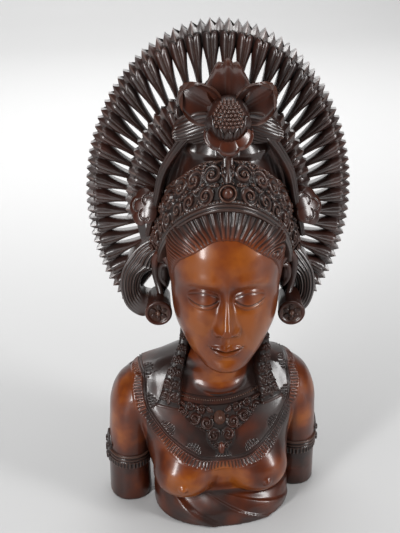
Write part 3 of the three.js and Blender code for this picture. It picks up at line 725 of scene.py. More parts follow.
def head_surface(angle, z, grow=0.0, features=True):
    """Points of the head at an angle from the front and a height, grown outwards."""
    middle, half, front, back = sizes(HEAD, z)
    s, c = np.sin(angle), np.cos(angle)
    centre = np.clip(-18, front + 10, back - 10)
    x = middle + (half + grow) * np.sign(s) * np.abs(s) ** 0.9
    reach = np.where(c > 0, front - grow - centre, back + grow - centre)
    y = centre + np.abs(c) ** 0.9 * reach
    cut_shade = np.zeros(np.shape(x))
    if features:
        height, cut_shade = face_relief(x, z)
        fade = np.abs(c) ** 0.5 * (c > 0)
        y = np.maximum(y - height * fade, NOSE_FRONT)
        cut_shade = cut_shade * fade
    return places(x, y, z), cut_shade


# Underside of the chin: rings as a share of the lowest ring, and how far each drops.
CHIN_MIDDLE = np.array([0, -44.0, CHIN_Z])
UNDER_CHIN = [(0.0, 1.6), (0.35, 1.5), (0.65, 1.15), (0.87, 0.55)]


def add_face(material):
    """Front of the head with its features, closed under the chin."""
    spread = np.linspace(-1, 1, 301)
    angle = np.radians(122) * (0.72 * spread + 0.28 * spread ** 3)
    heights = np.linspace(CHIN_Z, 268, 300)
    net, cut_shade = head_surface(angle[None, :], heights[:, None])
    chin = []
    for share, drop in UNDER_CHIN:
        ring = CHIN_MIDDLE + (net[0] - CHIN_MIDDLE) * share
        ring[:, 2] = CHIN_Z - drop
        chin.append(ring)
    net = np.concatenate([np.array(chin), net])
    cut_shade = np.concatenate([np.zeros((len(chin), len(angle))), cut_shade])
    x, y, z = np.moveaxis(net, -1, 0)
    side = np.abs(x)
    # Painted shade on the face: darker in the eye sockets, beside the mouth, under the chin and
    # where the face turns away to the sides and back, and a darker band along the hairline.
    painted_face_shade = (
        0.30 * bump(side - EYE_X, 13) * bump(z - EYE_Z - 3, 9) + 0.25 * step(side, 22, 40)
        + 0.20 * (1 - step(z, 150, 170)) + 0.22 * step(z, 246, 260)
        + 0.25 * bump(side - 9, 7) * bump(z - MOUTH_Z + 2, 9) + 0.5 * step(y, -30, -8)
    )
    carving = Carving()
    carving.grid(net, tone=0.92 - painted_face_shade, cut_shade=cut_shade)
    carving.piece("face", material)


# Hairline from the middle of the forehead to the temple, on the viewer's right.
HAIRLINE = np.array([
    (0, 258), (7, 257.4), (13, 254.6), (20, 249.6), (27, 244.4), (33, 239), (37, 231.5),
    (39.5, 222), (41, 211), (42.5, 198), (44, 184),
])


def behind_hairline(x, z):
    """How far a place in the front view lies within the hair, below zero on the face."""
    line = spline(HAIRLINE, 70)
    side = np.abs(x)
    gap = np.full(np.shape(x), 1e9)
    for u, v in line:
        gap = np.minimum(gap, (side - u) ** 2 + (z - v) ** 2)
    face_half = np.interp(z, HAIRLINE[::-1, 1], HAIRLINE[::-1, 0])
    face_half = np.where(z > HAIRLINE[0, 1], -1, face_half)
    return np.where(side > face_half, 1, -1) * np.sqrt(gap)


TEMPLE_CURL = (34.0, 243.0)
# Height that the strands spread from, and how far out they have their own width.
STRAND_CENTRE_Z = 214.0
STRAND_ROOT = 45.0


def hair_relief(x, z, depth):
    """Fine strands that sweep up from the hairline and outwards over the temples."""
    turn = np.degrees(np.arctan2(x, z - STRAND_CENTRE_Z))
    reach = np.hypot(x, z - STRAND_CENTRE_Z)
    lane = turn * (np.maximum(reach, 20) / STRAND_ROOT) ** -0.5
    wave = np.abs(np.sin(np.pi * lane / 4.0 + 0.5 * np.sin(lane * 0.31) + 1.2))
    fine = np.sin(2 * np.pi * lane / 1.9 + 1.3 * np.sin(lane * 0.23 + 1))
    strands = 2.0 * wave ** 0.7 - 1.3 + 0.16 * fine
    curl = np.hypot(x - TEMPLE_CURL[0], z - TEMPLE_CURL[1])
    share = 1 - step(curl, 6.5, 9.5)
    strands = strands * (1 - share) + share * np.sin(2 * np.pi * curl / 2.5)
    cut = np.clip(0.35 - 1.1 * strands, 0, 1)
    return 0.8 * strands * step(depth, 0.5, 5), cut


def add_hair(material):
    """Hair of the front of the head, without the part that would cover the face."""
    angle = np.radians(120) * np.linspace(-1, 1, 321)
    heights = np.linspace(184, 284, 200)
    plain, grown = (
        head_surface(angle[None, :], heights[:, None], grow, features=False)[0]
        for grow in (0.0, 1.0)
    )
    depth = behind_hairline(plain[..., 0], plain[..., 2])
    thickness = -1.8 + 2.8 * step(depth, -1.0, 1.4) + 3.0 * step(depth, 0.5, 13)
    strands, cut = hair_relief(plain[..., 0], plain[..., 2], depth)
    net = plain + (grown - plain) * (thickness + strands)[..., None]
    # Amber near the hairline, with painted shade that darkens it in the grooves between strands.
    tone = 0.62 * (1 - step(depth, 2, 18)) * (1 - 0.5 * cut) * step(heights, 184, 190)[:, None]
    rows, columns = depth.shape
    index = np.arange(rows * columns).reshape(rows, columns)
    quads = quads_between(index)
    quads = quads[(depth.ravel()[quads] > -2.2).all(1)]
    used = np.unique(quads)
    place = np.full(rows * columns, -1)
    place[used] = np.arange(len(used))
    carving = Carving()
    # Painted shade in the grooves between strands.
    cut_shade = cut * 0.9 * step(depth, 1, 4)
    carving.add(net.reshape(-1, 3)[used], place[quads], tone.ravel()[used], cut_shade.ravel()[used])
    carving.piece("hair", material)


COMBED_HAIR = profile([
    (148, 0, 15, -4, 19),
    (168, 0, 27, -4, 29),
    (195, 0, 38, -4, 39),
    (235, 0, 43, -4, 44),
    (275, 0, 38, -4, 41),
    (300, 0, 26, -4, 32),
    (312, 0, 12, -4, 22),
])


def level_surface(shape, angle, z):
    """Points of the body of a profile, at an angle from the front and a height."""
    middle, half, front, back = sizes(shape, z)
    s, c = np.sin(angle), np.cos(angle)
    x = middle + half * np.sign(s) * np.abs(s) ** (2 / SQUARENESS)
    y = (front + back) / 2 - (back - front) / 2 * np.sign(c) * np.abs(c) ** (2 / SQUARENESS)
    return places(x, y, z)


def outward_normals(net):
    """Normals of a net of rows of points that run round a body."""
    around = (np.roll(net, -1, 1) - np.roll(net, 1, 1)) / 2
    return unit(np.cross(around, np.gradient(net, axis=0)))


def ball_net(centre, radii, columns, rows):
    """Rings of points round a ball, from its lowest to its highest."""
    turn = all_round(columns)
    rise = np.linspace(-math.pi / 2 + 0.02, math.pi / 2 - 0.02, rows)[:, None]
    return places(
        centre[0] + radii[0] * np.sin(turn) * np.cos(rise),
        centre[1] - radii[1] * np.cos(turn) * np.cos(rise),
        centre[2] + radii[2] * np.sin(rise),
    )


def add_combed_hair(material):
    """Hair combed down over the back of the head and the neck."""
    angle = all_round(180)
    heights = np.linspace(148, 312, 110)
    net = level_surface(COMBED_HAIR, angle[None, :], heights[:, None])
    normals = outward_normals(net)
    x, y, z = np.moveaxis(net, -1, 0)
    lane = x * (1 + 0.004 * (312 - z))
    wave = np.sin(2 * np.pi * lane / 3.4 + 0.7 * np.sin(z * 0.06))
    behind = step(y, 6, 14)
    # Painted shade in the grooves between strands at the back.
    cut = np.clip(0.5 - 0.6 * wave, 0, 1) * behind
    carving = Carving()
    carving.closed(net + normals * (0.3 * wave * behind)[..., None], cut_shade=cut * 0.7)
    carving.piece("combed_hair", material)


# Ornament laid on a surface.

class Ground:
    """A surface that ornament lies on, over places (u, w) in millimetres."""

    def __init__(self, surface):
        self.surface = surface

    def at(self, u, w, height):
        """Points at places on the ground, lifted along its normal."""
        reach = 0.4
        u, w = np.broadcast_arrays(np.asarray(u, float), np.asarray(w, float))
        points = self.surface(u, w)
        du = self.surface(u + reach, w) - self.surface(u - reach, w)
        dw = self.surface(u, w + reach) - self.surface(u, w - reach)
        normals = unit(np.cross(du, dw))
        return points + normals * np.asarray(height, float)[..., None]


# How far ridges and beads reach into their ground.
RIDGE_SINK = 0.8


def ridge(carving, ground, path, half, height, tone=0.0, sections=7, crease=0.0):
    """Rounded ridge along a path of places on the ground."""
    path = np.asarray(path, float)
    along = unit(np.gradient(path, axis=0))
    side = np.stack([along[:, 1], -along[:, 0]], 1)
    half, height = (
        np.broadcast_to(np.asarray(size, float), (len(path),))[:, None] for size in (half, height)
    )
    turn = np.linspace(0, math.pi, sections)
    across = -np.cos(turn)
    rise = np.sin(turn) ** 0.8 * (1 - crease * bump(across, 0.3))
    u, w = (path[:, k, None] + side[:, k, None] * across * half for k in (0, 1))
    lift = rise * (height + RIDGE_SINK) - RIDGE_SINK
    # Painted shade along the foot of the ridge.
    cut_shade = np.broadcast_to(0.75 * (1 - np.sin(turn)) ** 1.5, u.shape)
    carving.grid(ground.at(u, w, lift), flip=True, tone=tone, cut_shade=cut_shade)


def scroll(carving, ground, centre, radius, turns, start, spin, half, height):
    """Spiral ridge that winds in to a bead."""
    t = np.linspace(0, 1, int(26 * turns) + 8)
    angle = math.radians(start) + spin * 2 * math.pi * turns * t
    reach = radius * (1 - 0.82 * t ** 0.85)
    path = np.stack([centre[0] + reach * np.cos(angle), centre[1] + reach * np.sin(angle)], 1)
    width = half * np.linspace(1, 0.55, len(path))
    width[:3] *= (0.3, 0.6, 0.85)
    ridge(carving, ground, path, width, height)
    bead(carving, ground, centre, half * 1.05, height * 1.1)


def bead(carving, ground, centre, radius, height, tone=0.0, segments=12):
    """Round bead on the ground."""
    turn = all_round(segments, 0)
    share = np.array([0, 0.25, 0.5, 0.75, 1, 1])[:, None]
    lift = height * np.sqrt(1 - share * share)
    lift[-1] = -RIDGE_SINK
    u = centre[0] + share * radius * np.cos(turn)
    w = centre[1] + share * radius * np.sin(turn)
    # Painted shade round the foot of the bead.
    cut_shade = np.broadcast_to(np.array([0, 0, 0, 0.1, 0.6, 0.9])[:, None], u.shape)
    lift = np.broadcast_to(lift, u.shape)
    carving.grid(ground.at(u, w, lift), loop=True, flip=True, tone=tone, cut_shade=cut_shade)


def leaf(carving, ground, base, tip, half, height, bend=0.0, tone=0.0):
    """Pointed leaf with a vein down its middle, bent sideways by a share of its length."""
    base, tip = np.asarray(base, float), np.asarray(tip, float)
    along = tip - base
    normal = np.array([-along[1], along[0]])
    t = np.linspace(0, 1, 12)
    path = base + along * t[:, None] + normal * (bend * 4 * t * (1 - t))[:, None]
    width = half * np.sin(np.pi * (0.12 + 0.86 * t)) ** 0.8
    width[-1] = 0.12
    rise = height * (0.55 + 0.45 * np.sin(np.pi * t))
    ridge(carving, ground, path, width, rise, tone, sections=9, crease=0.35)


SCROLL_WIND = 5.2


def cut_shade_from_height(height):
    """Painted shade of a place in the cuts, from the height of the carved pattern there."""
    return np.clip(1 - 1.5 * height, 0, 1)


def foliage(u, w, scrolls, leaves, beads):
    """Carved pattern over places on a ground: 0 in the cuts, up to 1 on the ornament.

    Scrolls are middle, radius, start angle and direction. Leaves are base, tip and half
    width. Beads are middle and radius.
    """
    height = np.zeros(u.shape)
    for cu, cw, half, tu, tw in ((*base, half, *tip) for base, tip, half in leaves):
        length = math.hypot(tu - cu, tw - cw)
        near = np.hypot(u - (cu + tu) / 2, w - (cw + tw) / 2) < length * 0.6 + half
        au, aw = (tu - cu) / length, (tw - cw) / length
        du, dw = u[near] - cu, w[near] - cw
        along = (du * au + dw * aw) / length
        across = (dw * au - du * aw) / half
        width = np.sin(np.pi * np.clip(0.06 + 0.94 * along, 0.001, 0.999)) ** 0.75
        share = np.abs(across) / np.maximum(width, 1e-3)
        inside = (along > 0) & (along < 1) & (share < 1)
        rise = np.sqrt(np.clip(1 - share ** 2, 0, 1)) * 0.85
        veins = 0.16 * np.cos(2 * np.pi * (along * 4 - np.abs(across) * 0.8))
        rise = rise - 0.35 * bump(across, 0.16) + veins * step(np.abs(across), 0.1, 0.4)
        height[near] = np.where(inside, np.maximum(height[near], rise), height[near])
    for (cu, cw), radius, start, spin in scrolls:
        near = np.hypot(u - cu, w - cw) < radius
        du, dw = u[near] - cu, w[near] - cw
        r = np.hypot(du, dw) / radius
        turn = np.arctan2(dw, du) - math.radians(start)
        arm = 0.5 + 0.5 * np.cos(spin * turn + SCROLL_WIND * np.log(np.maximum(r, 0.05)))
        rise = (0.08 + 0.92 * arm ** 0.62) * (1 - 0.3 * r) * (1 - step(r, 0.92, 1.0))
        heart = np.sqrt(np.clip(1 - (r / 0.2) ** 2, 0, 1))
        height[near] = np.maximum(rise, heart)
    for (cu, cw), radius in beads:
        near = np.hypot(u - cu, w - cw) < radius
        r = np.hypot(u[near] - cu, w[near] - cw) / radius
        height[near] = np.maximum(height[near], np.sqrt(np.clip(1 - r * r, 0, 1)))
    return height


def mirrored(scrolls, leaves, beads):
    """Both sides of a pattern that is laid out on the side where u grows."""
    return (
        [((s * u, w), radius, start if s > 0 else 180 - start, s * spin)
         for s in SIDES for (u, w), radius, start, spin in scrolls],
        [((s * bu, bw), (s * tu, tw), half)
         for s in SIDES for (bu, bw), (tu, tw), half in leaves],
        [((s * u, w), radius) for s in SIDES for (u, w), radius in beads],
    )


# Crown.

CROWN = profile([
    (222, 0, 49, -2, 22),
    (245, 0, 50, -12, 24),
    (264, 0, 49, -28, 28),
    (277, 0, 47, -42, 30),
    (288, 0, 44, -56, 30),
    (298, 0, 41, -55, 29),
    (308, 0, 38, -50, 27),
    (326, 0, 31, -42, 22),
    (344, 0, 24, -33, 18),
    (356, 0, 17, -25, 14),
    (363, 0, 10, -15, 9),
    (366, 0, 3, -6, 3),
])


FLUTES = 36


def crown_front(u, z):
    """Front surface of the crown over a distance round it (u) and a height."""
    angle = np.clip(u / np.maximum(sizes(CROWN, z)[1], 1), -1.9, 1.9)
    return level_surface(CROWN, angle, z)


def add_crown(material):
    """Tall crown, fluted behind, with its band, blades and leaves."""
    angle = all_round(220)
    heights = np.linspace(222, 366, 120)
    net = level_surface(CROWN, angle[None, :], heights[:, None])
    normals = outward_normals(net)
    u = angle * sizes(CROWN, heights)[1][:, None]
    z = heights[:, None] * np.ones_like(u)
    front = 1 - step(np.abs(angle), 1.2, 1.7)
    hollow = step(z, 312, 318) * (1 - step(z, 332, 338))
    hollow = hollow * front * step(np.abs(u), 3, 8) * (1 - step(np.abs(u), 24, 32))
    under = front * (1 - step(z, 313, 319))
    net = net - normals * (2.4 * hollow + 5.5 * under)[..., None]
    back = step(-np.cos(angle), -0.45, -0.1)
    flutes = (0.5 + 0.5 * np.cos(angle * FLUTES)) * (1 - step(z, 345, 360))
    net = net - normals * (0.9 * flutes * back)[..., None]
    carving = Carving()
    # Painted shade in the flutes at the back.
    carving.closed(net, cut_shade=0.35 * flutes * back)
    add_band(carving)
    ground = Ground(crown_front)
    stem = spline([(0, 312), (0, 318), (0, 326), (0, 334)], 14)
    ridge(carving, ground, stem, 3.4, 1.4, tone=0.2)
    for side in SIDES:
        lobe = spline([(side * 1.5, 318), (side * 6, 322), (side * 7.5, 328), (side * 4, 333)], 16)
        ridge(carving, ground, lobe, 1.5, 2.0, tone=0.15)
        add_blade(carving, side)
        add_side_leaves(carving, side)
    carving.piece("crown", material)


HAIR_BAND = {"half_width": 50.0, "root_y": 1.0, "reach": 57.0, "root_z": 211.5, "rise": 73.5}


def band_place(angle):
    """Place on the arched band over the hair, and the way outwards from it."""
    c, s = np.cos(angle), np.sin(angle)
    x = HAIR_BAND["half_width"] * s
    y = HAIR_BAND["root_y"] - HAIR_BAND["reach"] * c
    z = HAIR_BAND["root_z"] + HAIR_BAND["rise"] * c
    return places(x, y, z), unit(places(x * 0.6, y, (z - HAIR_BAND["root_z"]) * 0.4))


# Section of the band: across and height, with a groove between its two strips.
BAND_SECTION = np.array([
    (-3.4, -5), (-3.2, 1.4), (-2.5, 2.2), (-1.8, 2.4), (-1.1, 2.1), (-0.8, 1.2), (-0.4, 2.2),
    (0.3, 2.7), (1.1, 2.7), (1.8, 2.1), (2.1, 1.2), (2.6, 1.5), (3.4, 1.7), (4.4, 1.6),
    (5.2, 0.8), (5.4, -5),
])


def add_band(carving):
    """Arched double band with a row of bead strokes above it."""
    angle = np.radians(np.linspace(-84, 84, 300))
    place, outward = band_place(angle)
    along = unit(np.gradient(place, axis=0))
    up = unit(np.cross(along, outward))
    up = np.where(up[:, 2:3] < 0, -up, up)
    across, height = BAND_SECTION.T
    strokes = 0.5 + 0.5 * np.cos(2 * np.pi * lengths_along(place) / 2.6)
    beads = bump(across - 3.6, 1.2)
    lift = height[None, :] + beads[None, :] * (0.9 * strokes[:, None] - 0.3)
    net = place[:, None] + up[:, None] * across[None, :, None] + outward[:, None] * lift[..., None]
    # Painted shade in the grooves and between the bead strokes.
    cut = bump(across + 0.8, 0.3) + bump(across - 2.1, 0.3)
    cut_shade = np.clip(cut[None, :] + beads[None, :] * (1 - strokes[:, None]), 0, 1)
    carving.grid(net, flip=True, cut_shade=cut_shade)


def path_frame(path, outward):
    """Directions across a path and outwards from it."""
    along = unit(np.gradient(path, axis=0))
    across = unit(np.cross(along, unit(np.broadcast_to(outward, path.shape))))
    return across, unit(np.cross(across, along))


def free_ridge(carving, path, outward, section, tone=0.0, cut_shade=0.0):
    """Carved strip along a free path. The section gives across and height at each share."""
    side, outward = path_frame(path, outward)
    rings = []
    for k, share in enumerate(np.linspace(0, 1, len(path))):
        across, height = section(share)
        rings.append(path[k] + side[k] * across[:, None] + outward[k] * height[:, None])
    carving.closed(np.array(rings), tone=tone, cut_shade=cut_shade)


BAND_ANGLES = np.linspace(0, 92, 400)
TIARA_ANGLES = [0, 20, 40, 55, 70, 84, 92]
TIARA_TOP = np.array([
    (0, -46, 317), (17, -43, 313.5), (33, -32, 299), (45, -16, 282), (50.5, -10, 262),
    (56, -6, 238), (58, -4, 224),
])
TIARA_LENGTH = 106.0
TIARA_DEPTH = 9.0
TIARA_REPEATS = 7
TIARA_REPEAT_LENGTH = 14.5


def tiara_pattern():
    """Scrolls, leaves and beads of one side of the tiara, as foliage takes them."""
    scrolls, leaves, beads = [], [((1.2, 15), (4.4, 29), 2.4)], [((3.4, 13.8), 1.2)]
    for k in range(TIARA_REPEATS):
        at = TIARA_REPEAT_LENGTH * k
        turn = 1 if k % 2 else -1
        scrolls += [
            ((16.5 + at, 7.4), 7.0, -90, turn), ((11.5 + at, 21.5), 7.2, 90, -turn),
            ((18.6 + at, 30.0), 3.8, 0, turn),
        ]
        leaves += [
            ((20 + at, 14.5), (30 + at, 12.5), 2.8), ((6 + at, 12.8), (14 + at, 14.8), 2.2),
            ((5 + at, 30.6), (14 + at, 30.2), 2.4), ((19.5 + at, 19), (18.5 + at, 26.5), 2.0),
        ]
        beads += [
            ((23.8 + at, 2.4), 1.7), ((18.4 + at, 15.6), 1.6), ((24.2 + at, 17.4), 1.2),
            ((9.3 + at, 3.0 if k else 30), 1.3),
        ]
    return mirrored(scrolls, leaves, beads)


def tiara_edges(s):
    """Lower and upper edge of the carved tiara at a distance along the band."""
    band, _ = band_place(np.radians(BAND_ANGLES))
    angle = np.interp(np.abs(s), lengths_along(band), BAND_ANGLES)
    low, outward = band_place(np.radians(angle))
    low = low + outward * 0.5 + np.array([0, 0, 1]) * 2.2
    top = np.stack([follow(angle, TIARA_ANGLES, column) for column in TIARA_TOP.T], -1)
    mirror = places(np.where(s < 0, -1, 1), 1, 1)
    return low * mirror, top * mirror, outward * mirror


def add_tiara(material):
    """Arched strip of scrolls, leaves and beads above the band, down to the ears."""
    columns, rows = 430, 62
    s = np.linspace(-TIARA_LENGTH, TIARA_LENGTH, columns)
    t = np.linspace(0, 1, rows)[None, :]
    low, top, outward = tiara_edges(s)
    width = np.linalg.norm(top - low, axis=1)[:, None]
    bulge = 4.0 * np.sin(np.pi * t)
    base = low[:, None] + (top - low)[:, None] * t[..., None] + outward[:, None] * bulge[..., None]
    normals = unit(np.cross(np.gradient(base, axis=0), np.gradient(base, axis=1)))
    u = s[:, None] * np.ones_like(t)
    w = t * width
    height = foliage(u, w, *tiara_pattern())
    stem = np.clip(1 - (u / (2.2 + 1.6 * bump(w - 17, 2.5))) ** 2, 0, 1) ** 0.5 * step(w, 12, 14)
    gem = np.hypot(u, w - 7.0)
    ring = bump(gem - 5.6, 0.9)
    dome = 1.25 * np.sqrt(np.clip(1 - (gem / 4.2) ** 2, 0, 1))
    height = np.where(gem < 7.2, np.maximum(ring, dome), np.maximum(height, stem))
    border = 1 - step(w, 0.5, 1.2) + step(width - w, 1.6, 0.9)
    height = np.maximum(height, 0.8 * border)
    edge = (1 - step(w, 0, 0.6)) + (1 - step(width - w, 0, 0.8))
    front = base + normals * (3.4 * height - 2.2 - 1.5 * edge)[..., None]
    share = np.linspace(1, 0, 4)[None, :, None]
    inner = low[:, None] + (top - low)[:, None] * share - outward[:, None] * TIARA_DEPTH
    plain = np.zeros((columns, inner.shape[1]))
    # Painted shade in the cuts between the ornament.
    cut_shade = np.concatenate([cut_shade_from_height(height), plain], 1)
    tone = np.concatenate([0.12 + 0.25 * (gem < 4.4), plain], 1)
    carving = Carving()
    carving.closed(np.concatenate([front, inner], 1), flip=True, tone=tone, cut_shade=cut_shade)
    carving.piece("tiara", material)


# Section of the blade: shares of its half width, heights, and painted shade, mostly in its two
# grooves.
BLADE_ACROSS = np.array([
    -0.4, 0.4, 1.0, 0.94, 0.62, 0.48, 0.34, 0, -0.34, -0.48, -0.62, -0.94, -1.0,
])
BLADE_HEIGHT = np.array([-9, -9, -2.5, 0.6, 1.1, 0.0, 1.2, 1.6, 1.2, 0.0, 1.1, 0.6, -2.5]) + 1.6
BLADE_CUT_SHADE = [0, 0, 0.2, 0, 0, 0.8, 0, 0, 0, 0.8, 0, 0, 0.2]


def add_blade(carving, side):
    """Long double-grooved blade from under the flower down the side of the crown."""
    path = spline([
        (side * 22, -41, 335), (side * 31, -38, 328), (side * 45, -26, 301),
        (side * 51, -17, 274), (side * 56, -10, 251), (side * 58, -8, 241),
    ], 70)

    def section(share):
        return (3.6 - 1.7 * share) * BLADE_ACROSS, BLADE_HEIGHT

    free_ridge(carving, path, (side * 0.75, -1, 0.1), section, cut_shade=BLADE_CUT_SHADE)


def add_side_leaves(carving, side):
    """Rounded leaf with a scalloped edge and curled cuts, beside the crown."""
    middle = np.array([side * 61 + 0.5, -15, 267])
    outward = unit(np.array([0.08 + side * 0.41, -0.80, 0.40]))
    across = unit(np.cross(outward, [0, 0, 1])) * -1
    up = np.cross(outward, across)
    turn = all_round(120, 0)
    t = np.linspace(0, 1, 26)[:, None]
    edge = 0.94 + 0.17 * np.abs(np.cos(2.5 * turn)) ** 0.7
    u = 10.5 * edge * t * np.cos(turn) * side
    v = 13.0 * edge * t * np.sin(turn)
    cuts = np.zeros(u.shape)
    curls = ((-3.0, 5.0, 4.2, 40), (3.5, 0.0, 4.6, 0), (-2.5, -5.5, 4.0, -50))
    for cu, cv, radius, start in curls:
        ring = np.hypot(u * side - cu, v - cv)
        turned = np.arctan2(v - cv, u * side - cu) - math.radians(start)
        turned = np.mod(turned + math.pi, 2 * math.pi) - math.pi
        arc = 1 - step(np.abs(turned), 1.5, 1.9)
        cuts = np.maximum(cuts, bump(ring - radius * (1 + 0.1 * turned), 0.5) * arc)
    rise = 2.2 * (1 - t ** 3) - 0.8 * cuts * (t < 0.9)
    front = middle + across * u[..., None] + up * v[..., None] + outward * rise[..., None]
    rear = front[-1:] - outward * 10 + np.array([0, 6.0, 0])
    # Painted shade in the curled cuts.
    cut_shade = np.concatenate([cuts, np.zeros((1, cuts.shape[1]))])
    carving.grid(np.concatenate([front, rear]), True, side < 0, 0.15, cut_shade)


# Fan.

FAN_HALF_WIDTH = 101.0
FAN_HALF_HEIGHT = 137.0
FAN_CENTRE_Z = 400 - FAN_HALF_HEIGHT
FAN_FOCUS = np.array([0.0, 252.0])
TIERS = {
    "outer": {"end": -44, "spokes": 42, "root": 0.60, "gap": 0.865, "petal": 0.945,
              "valley": 0.962, "tip": 1.0, "front": 8.0, "root_half": 1.55},
    "inner": {"end": -7, "spokes": 18, "root": 0.30, "gap": 0.56, "petal": 0.655,
              "valley": 0.672, "tip": 0.70, "front": -1.0, "root_half": 2.0},
}
TIER_THICKNESS = 12.0


def rim_places(end, spokes):
    """Places at even spacing along the rim of the fan, two to a spoke and one more."""
    angle = np.radians(np.linspace(end, 180 - end, 4000))
    z = FAN_CENTRE_Z + FAN_HALF_HEIGHT * np.sin(angle)
    return evenly(np.stack([FAN_HALF_WIDTH * np.cos(angle), z], 1), 2 * spokes + 1)


# Rows of a spoke: along its ridge, over the petal's tip and over the tooth beyond.
SPOKE_ROWS, ARCH_ROWS, TOOTH_ROWS = 15, 6, 5
# Lanes to each side of a spoke's middle. The first ones keep a fixed distance from it, in
# millimetres, for the double ridge, and the others spread out to the edge of the cell.
LANES = 10
FINE_LANES = [0.0, 0.34, 0.68, 1.02]
WIDE_LANES = np.linspace(0, 1, LANES - len(FINE_LANES) + 1)[1:] ** 0.9
RIDGE_LINES = [0.25, -0.45, -0.1, 0.25]
GROOVE_LANES = (0, 3)
# Half width of a cell below which the first lanes are squeezed together.
ROOMY_HALF = 2.2
# Place of a petal's middle between a spoke's middle and the edge of its cell.
PETAL_MIDDLE = 0.52
TOOTH_START = 0.002


def lane_shape(lane, cell_half, tier):
    """Place of a lane in a full cell, and shares where its petal and its tooth end."""
    if lane < len(FINE_LANES):
        full = FINE_LANES[lane] / cell_half
    else:
        inner = FINE_LANES[-1] / cell_half
        full = inner + (1 - inner) * WIDE_LANES[lane - len(FINE_LANES)]
    past_middle = full > PETAL_MIDDLE
    off = abs(full - PETAL_MIDDLE) / (1 - PETAL_MIDDLE if past_middle else PETAL_MIDDLE)
    low = tier["gap"]
    low += 0.006 if past_middle else 0.05 * (tier["petal"] - tier["gap"]) / 0.08
    arch = low + (tier["petal"] - low) * math.sqrt(max(1 - off * off, 0))
    tooth = tier["valley"] + (tier["tip"] - tier["valley"]) * abs(2 * full - 1)
    return full, arch, tooth


def lane_across(lane, half_here):
    """How far a lane lies from the spoke's middle where the cell has a half width."""
    squeeze = min(1, half_here / ROOMY_HALF)
    if lane < len(FINE_LANES):
        return FINE_LANES[lane] * squeeze
    inner = FINE_LANES[-1] * squeeze
    return inner + (half_here - inner) * WIDE_LANES[lane - len(FINE_LANES)]


def spoke_lane(lane, middle, outer, cell_half, tier):
    """Places and painted shade in the cuts along one lane of a spoke, from the hub to the rim."""
    full, arch, tooth = lane_shape(lane, cell_half, tier)
    root, gap = tier["root"], tier["gap"]
    along = [root + (gap - root) * (k / SPOKE_ROWS) for k in range(SPOKE_ROWS)]
    along += [gap + (arch - gap) * (k / ARCH_ROWS) for k in range(ARCH_ROWS + 1)]
    start = arch + TOOTH_START
    beyond = [start + (tooth - start) * (k / TOOTH_ROWS) for k in range(TOOTH_ROWS + 1)]
    column = []
    cuts = []
    for k, s in enumerate(along + beyond):
        widen = min(max((s - root) / (gap - root), 0), 1)
        spread = 0.25 * widen + 0.75 * widen ** 2.2
        half_here = tier["root_half"] + (cell_half * s - tier["root_half"]) * spread
        across = lane_across(lane, half_here)
        rim = middle + (outer - middle) * (across / (cell_half * s))
        x, z = FAN_FOCUS + (rim - FAN_FOCUS) * s
        if k < len(along):
            c = min(across / half_here, 1)
            crest = 3.4 * (1 - widen) ** 1.3
            slope = (1.2 + 4.6 * widen) * c ** 1.5
            belly = -1.3 * widen * math.exp(-((c - PETAL_MIDDLE) / 0.26) ** 2)
            line = RIDGE_LINES[lane] if lane < len(RIDGE_LINES) else 0
            drop = 1.4 * max((s - arch + 0.02) / 0.02, 0) ** 2
            depth = crest + slope + belly + line + drop
            # Painted shade in the grooves of the double ridge.
            cuts.append(0.5 if lane in GROOVE_LANES else 0)
        else:
            ridge_line = abs(2 * abs(full - 0.5) - 1)
            depth = 5.2 + 2.2 * ridge_line + 1.2 * (s - arch) / (tier["tip"] - arch + 1e-6)
            # Painted shade at the foot of the teeth.
            cuts.append(0.9 * math.exp(-((s - arch) / 0.012) ** 2))
        column.append((x, tier["front"] + depth, z))
    return column, cuts


def add_spoke(carving, before, middle, after, tier):
    """One spoke with its double ridge, two petals and the teeth of the rim beyond them."""
    cell_half = np.linalg.norm(after - before) / 2
    lanes = [(before, lane) for lane in reversed(range(LANES))]
    lanes += [(after, lane) for lane in range(LANES)]
    net, cut_shade = (np.array(values) for values in zip(*(
        spoke_lane(lane, middle, outer, cell_half, tier) for outer, lane in lanes
    )))
    back = tier["front"] + TIER_THICKNESS
    rear = net.copy()
    rear[..., 1] = back - 0.6 * step(np.abs(np.linspace(-1, 1, len(net))), 0.7, 1)[:, None]
    front = capped(net)
    front[[0, -1], :, 1] = back - 0.6
    carving.grid(front, flip=True, tone=0.14, cut_shade=capped(cut_shade))
    coarse = np.concatenate([rear[::3], rear[-1:]])
    carving.grid(np.concatenate([coarse[:, ::2], coarse[:, -1:]], 1))
    rim_back = net[:, -1].copy()
    rim_back[:, 1] = back
    carving.grid(np.stack([net[:, -1], rim_back], 1))


# Ring that holds the outer spokes: shares of the rim's distance, and depths.
HUB_SECTION = [(0.57, 9.5), (0.57, 20), (0.63, 20), (0.63, 9.5)]


def add_fan(material):
    """Two tiers of spokes behind the head, the outer one on a ring."""
    for name, tier in TIERS.items():
        carving = Carving(turn_fan)
        rims = rim_places(tier["end"], tier["spokes"])
        for before, middle, after in zip(rims[:-2:2], rims[1:-1:2], rims[2::2]):
            add_spoke(carving, before, middle, after, tier)
        if name == "outer":
            share, y = np.array(HUB_SECTION).T
            at = FAN_FOCUS + (rims[:, None] - FAN_FOCUS) * share[:, None]
            carving.closed(places(at[..., 0], y, at[..., 1]))
        carving.piece("fan_" + name, material, sharp_over=38)


# Flower.

BUD_CENTRE = np.array([0.0, -44.0, 346.0])
BUD_RADII = np.array([15.0, 14.0, 16.0])


def trefoil(u):
    """Edge of the middle petal, with three lobes."""
    return 2.6 * (np.abs(np.cos(1.5 * np.pi * u)) - 0.6)


def frill(u):
    """Edge of the petals beside it, with five lobes."""
    return 0.8 * np.abs(np.cos(2.5 * np.pi * u))


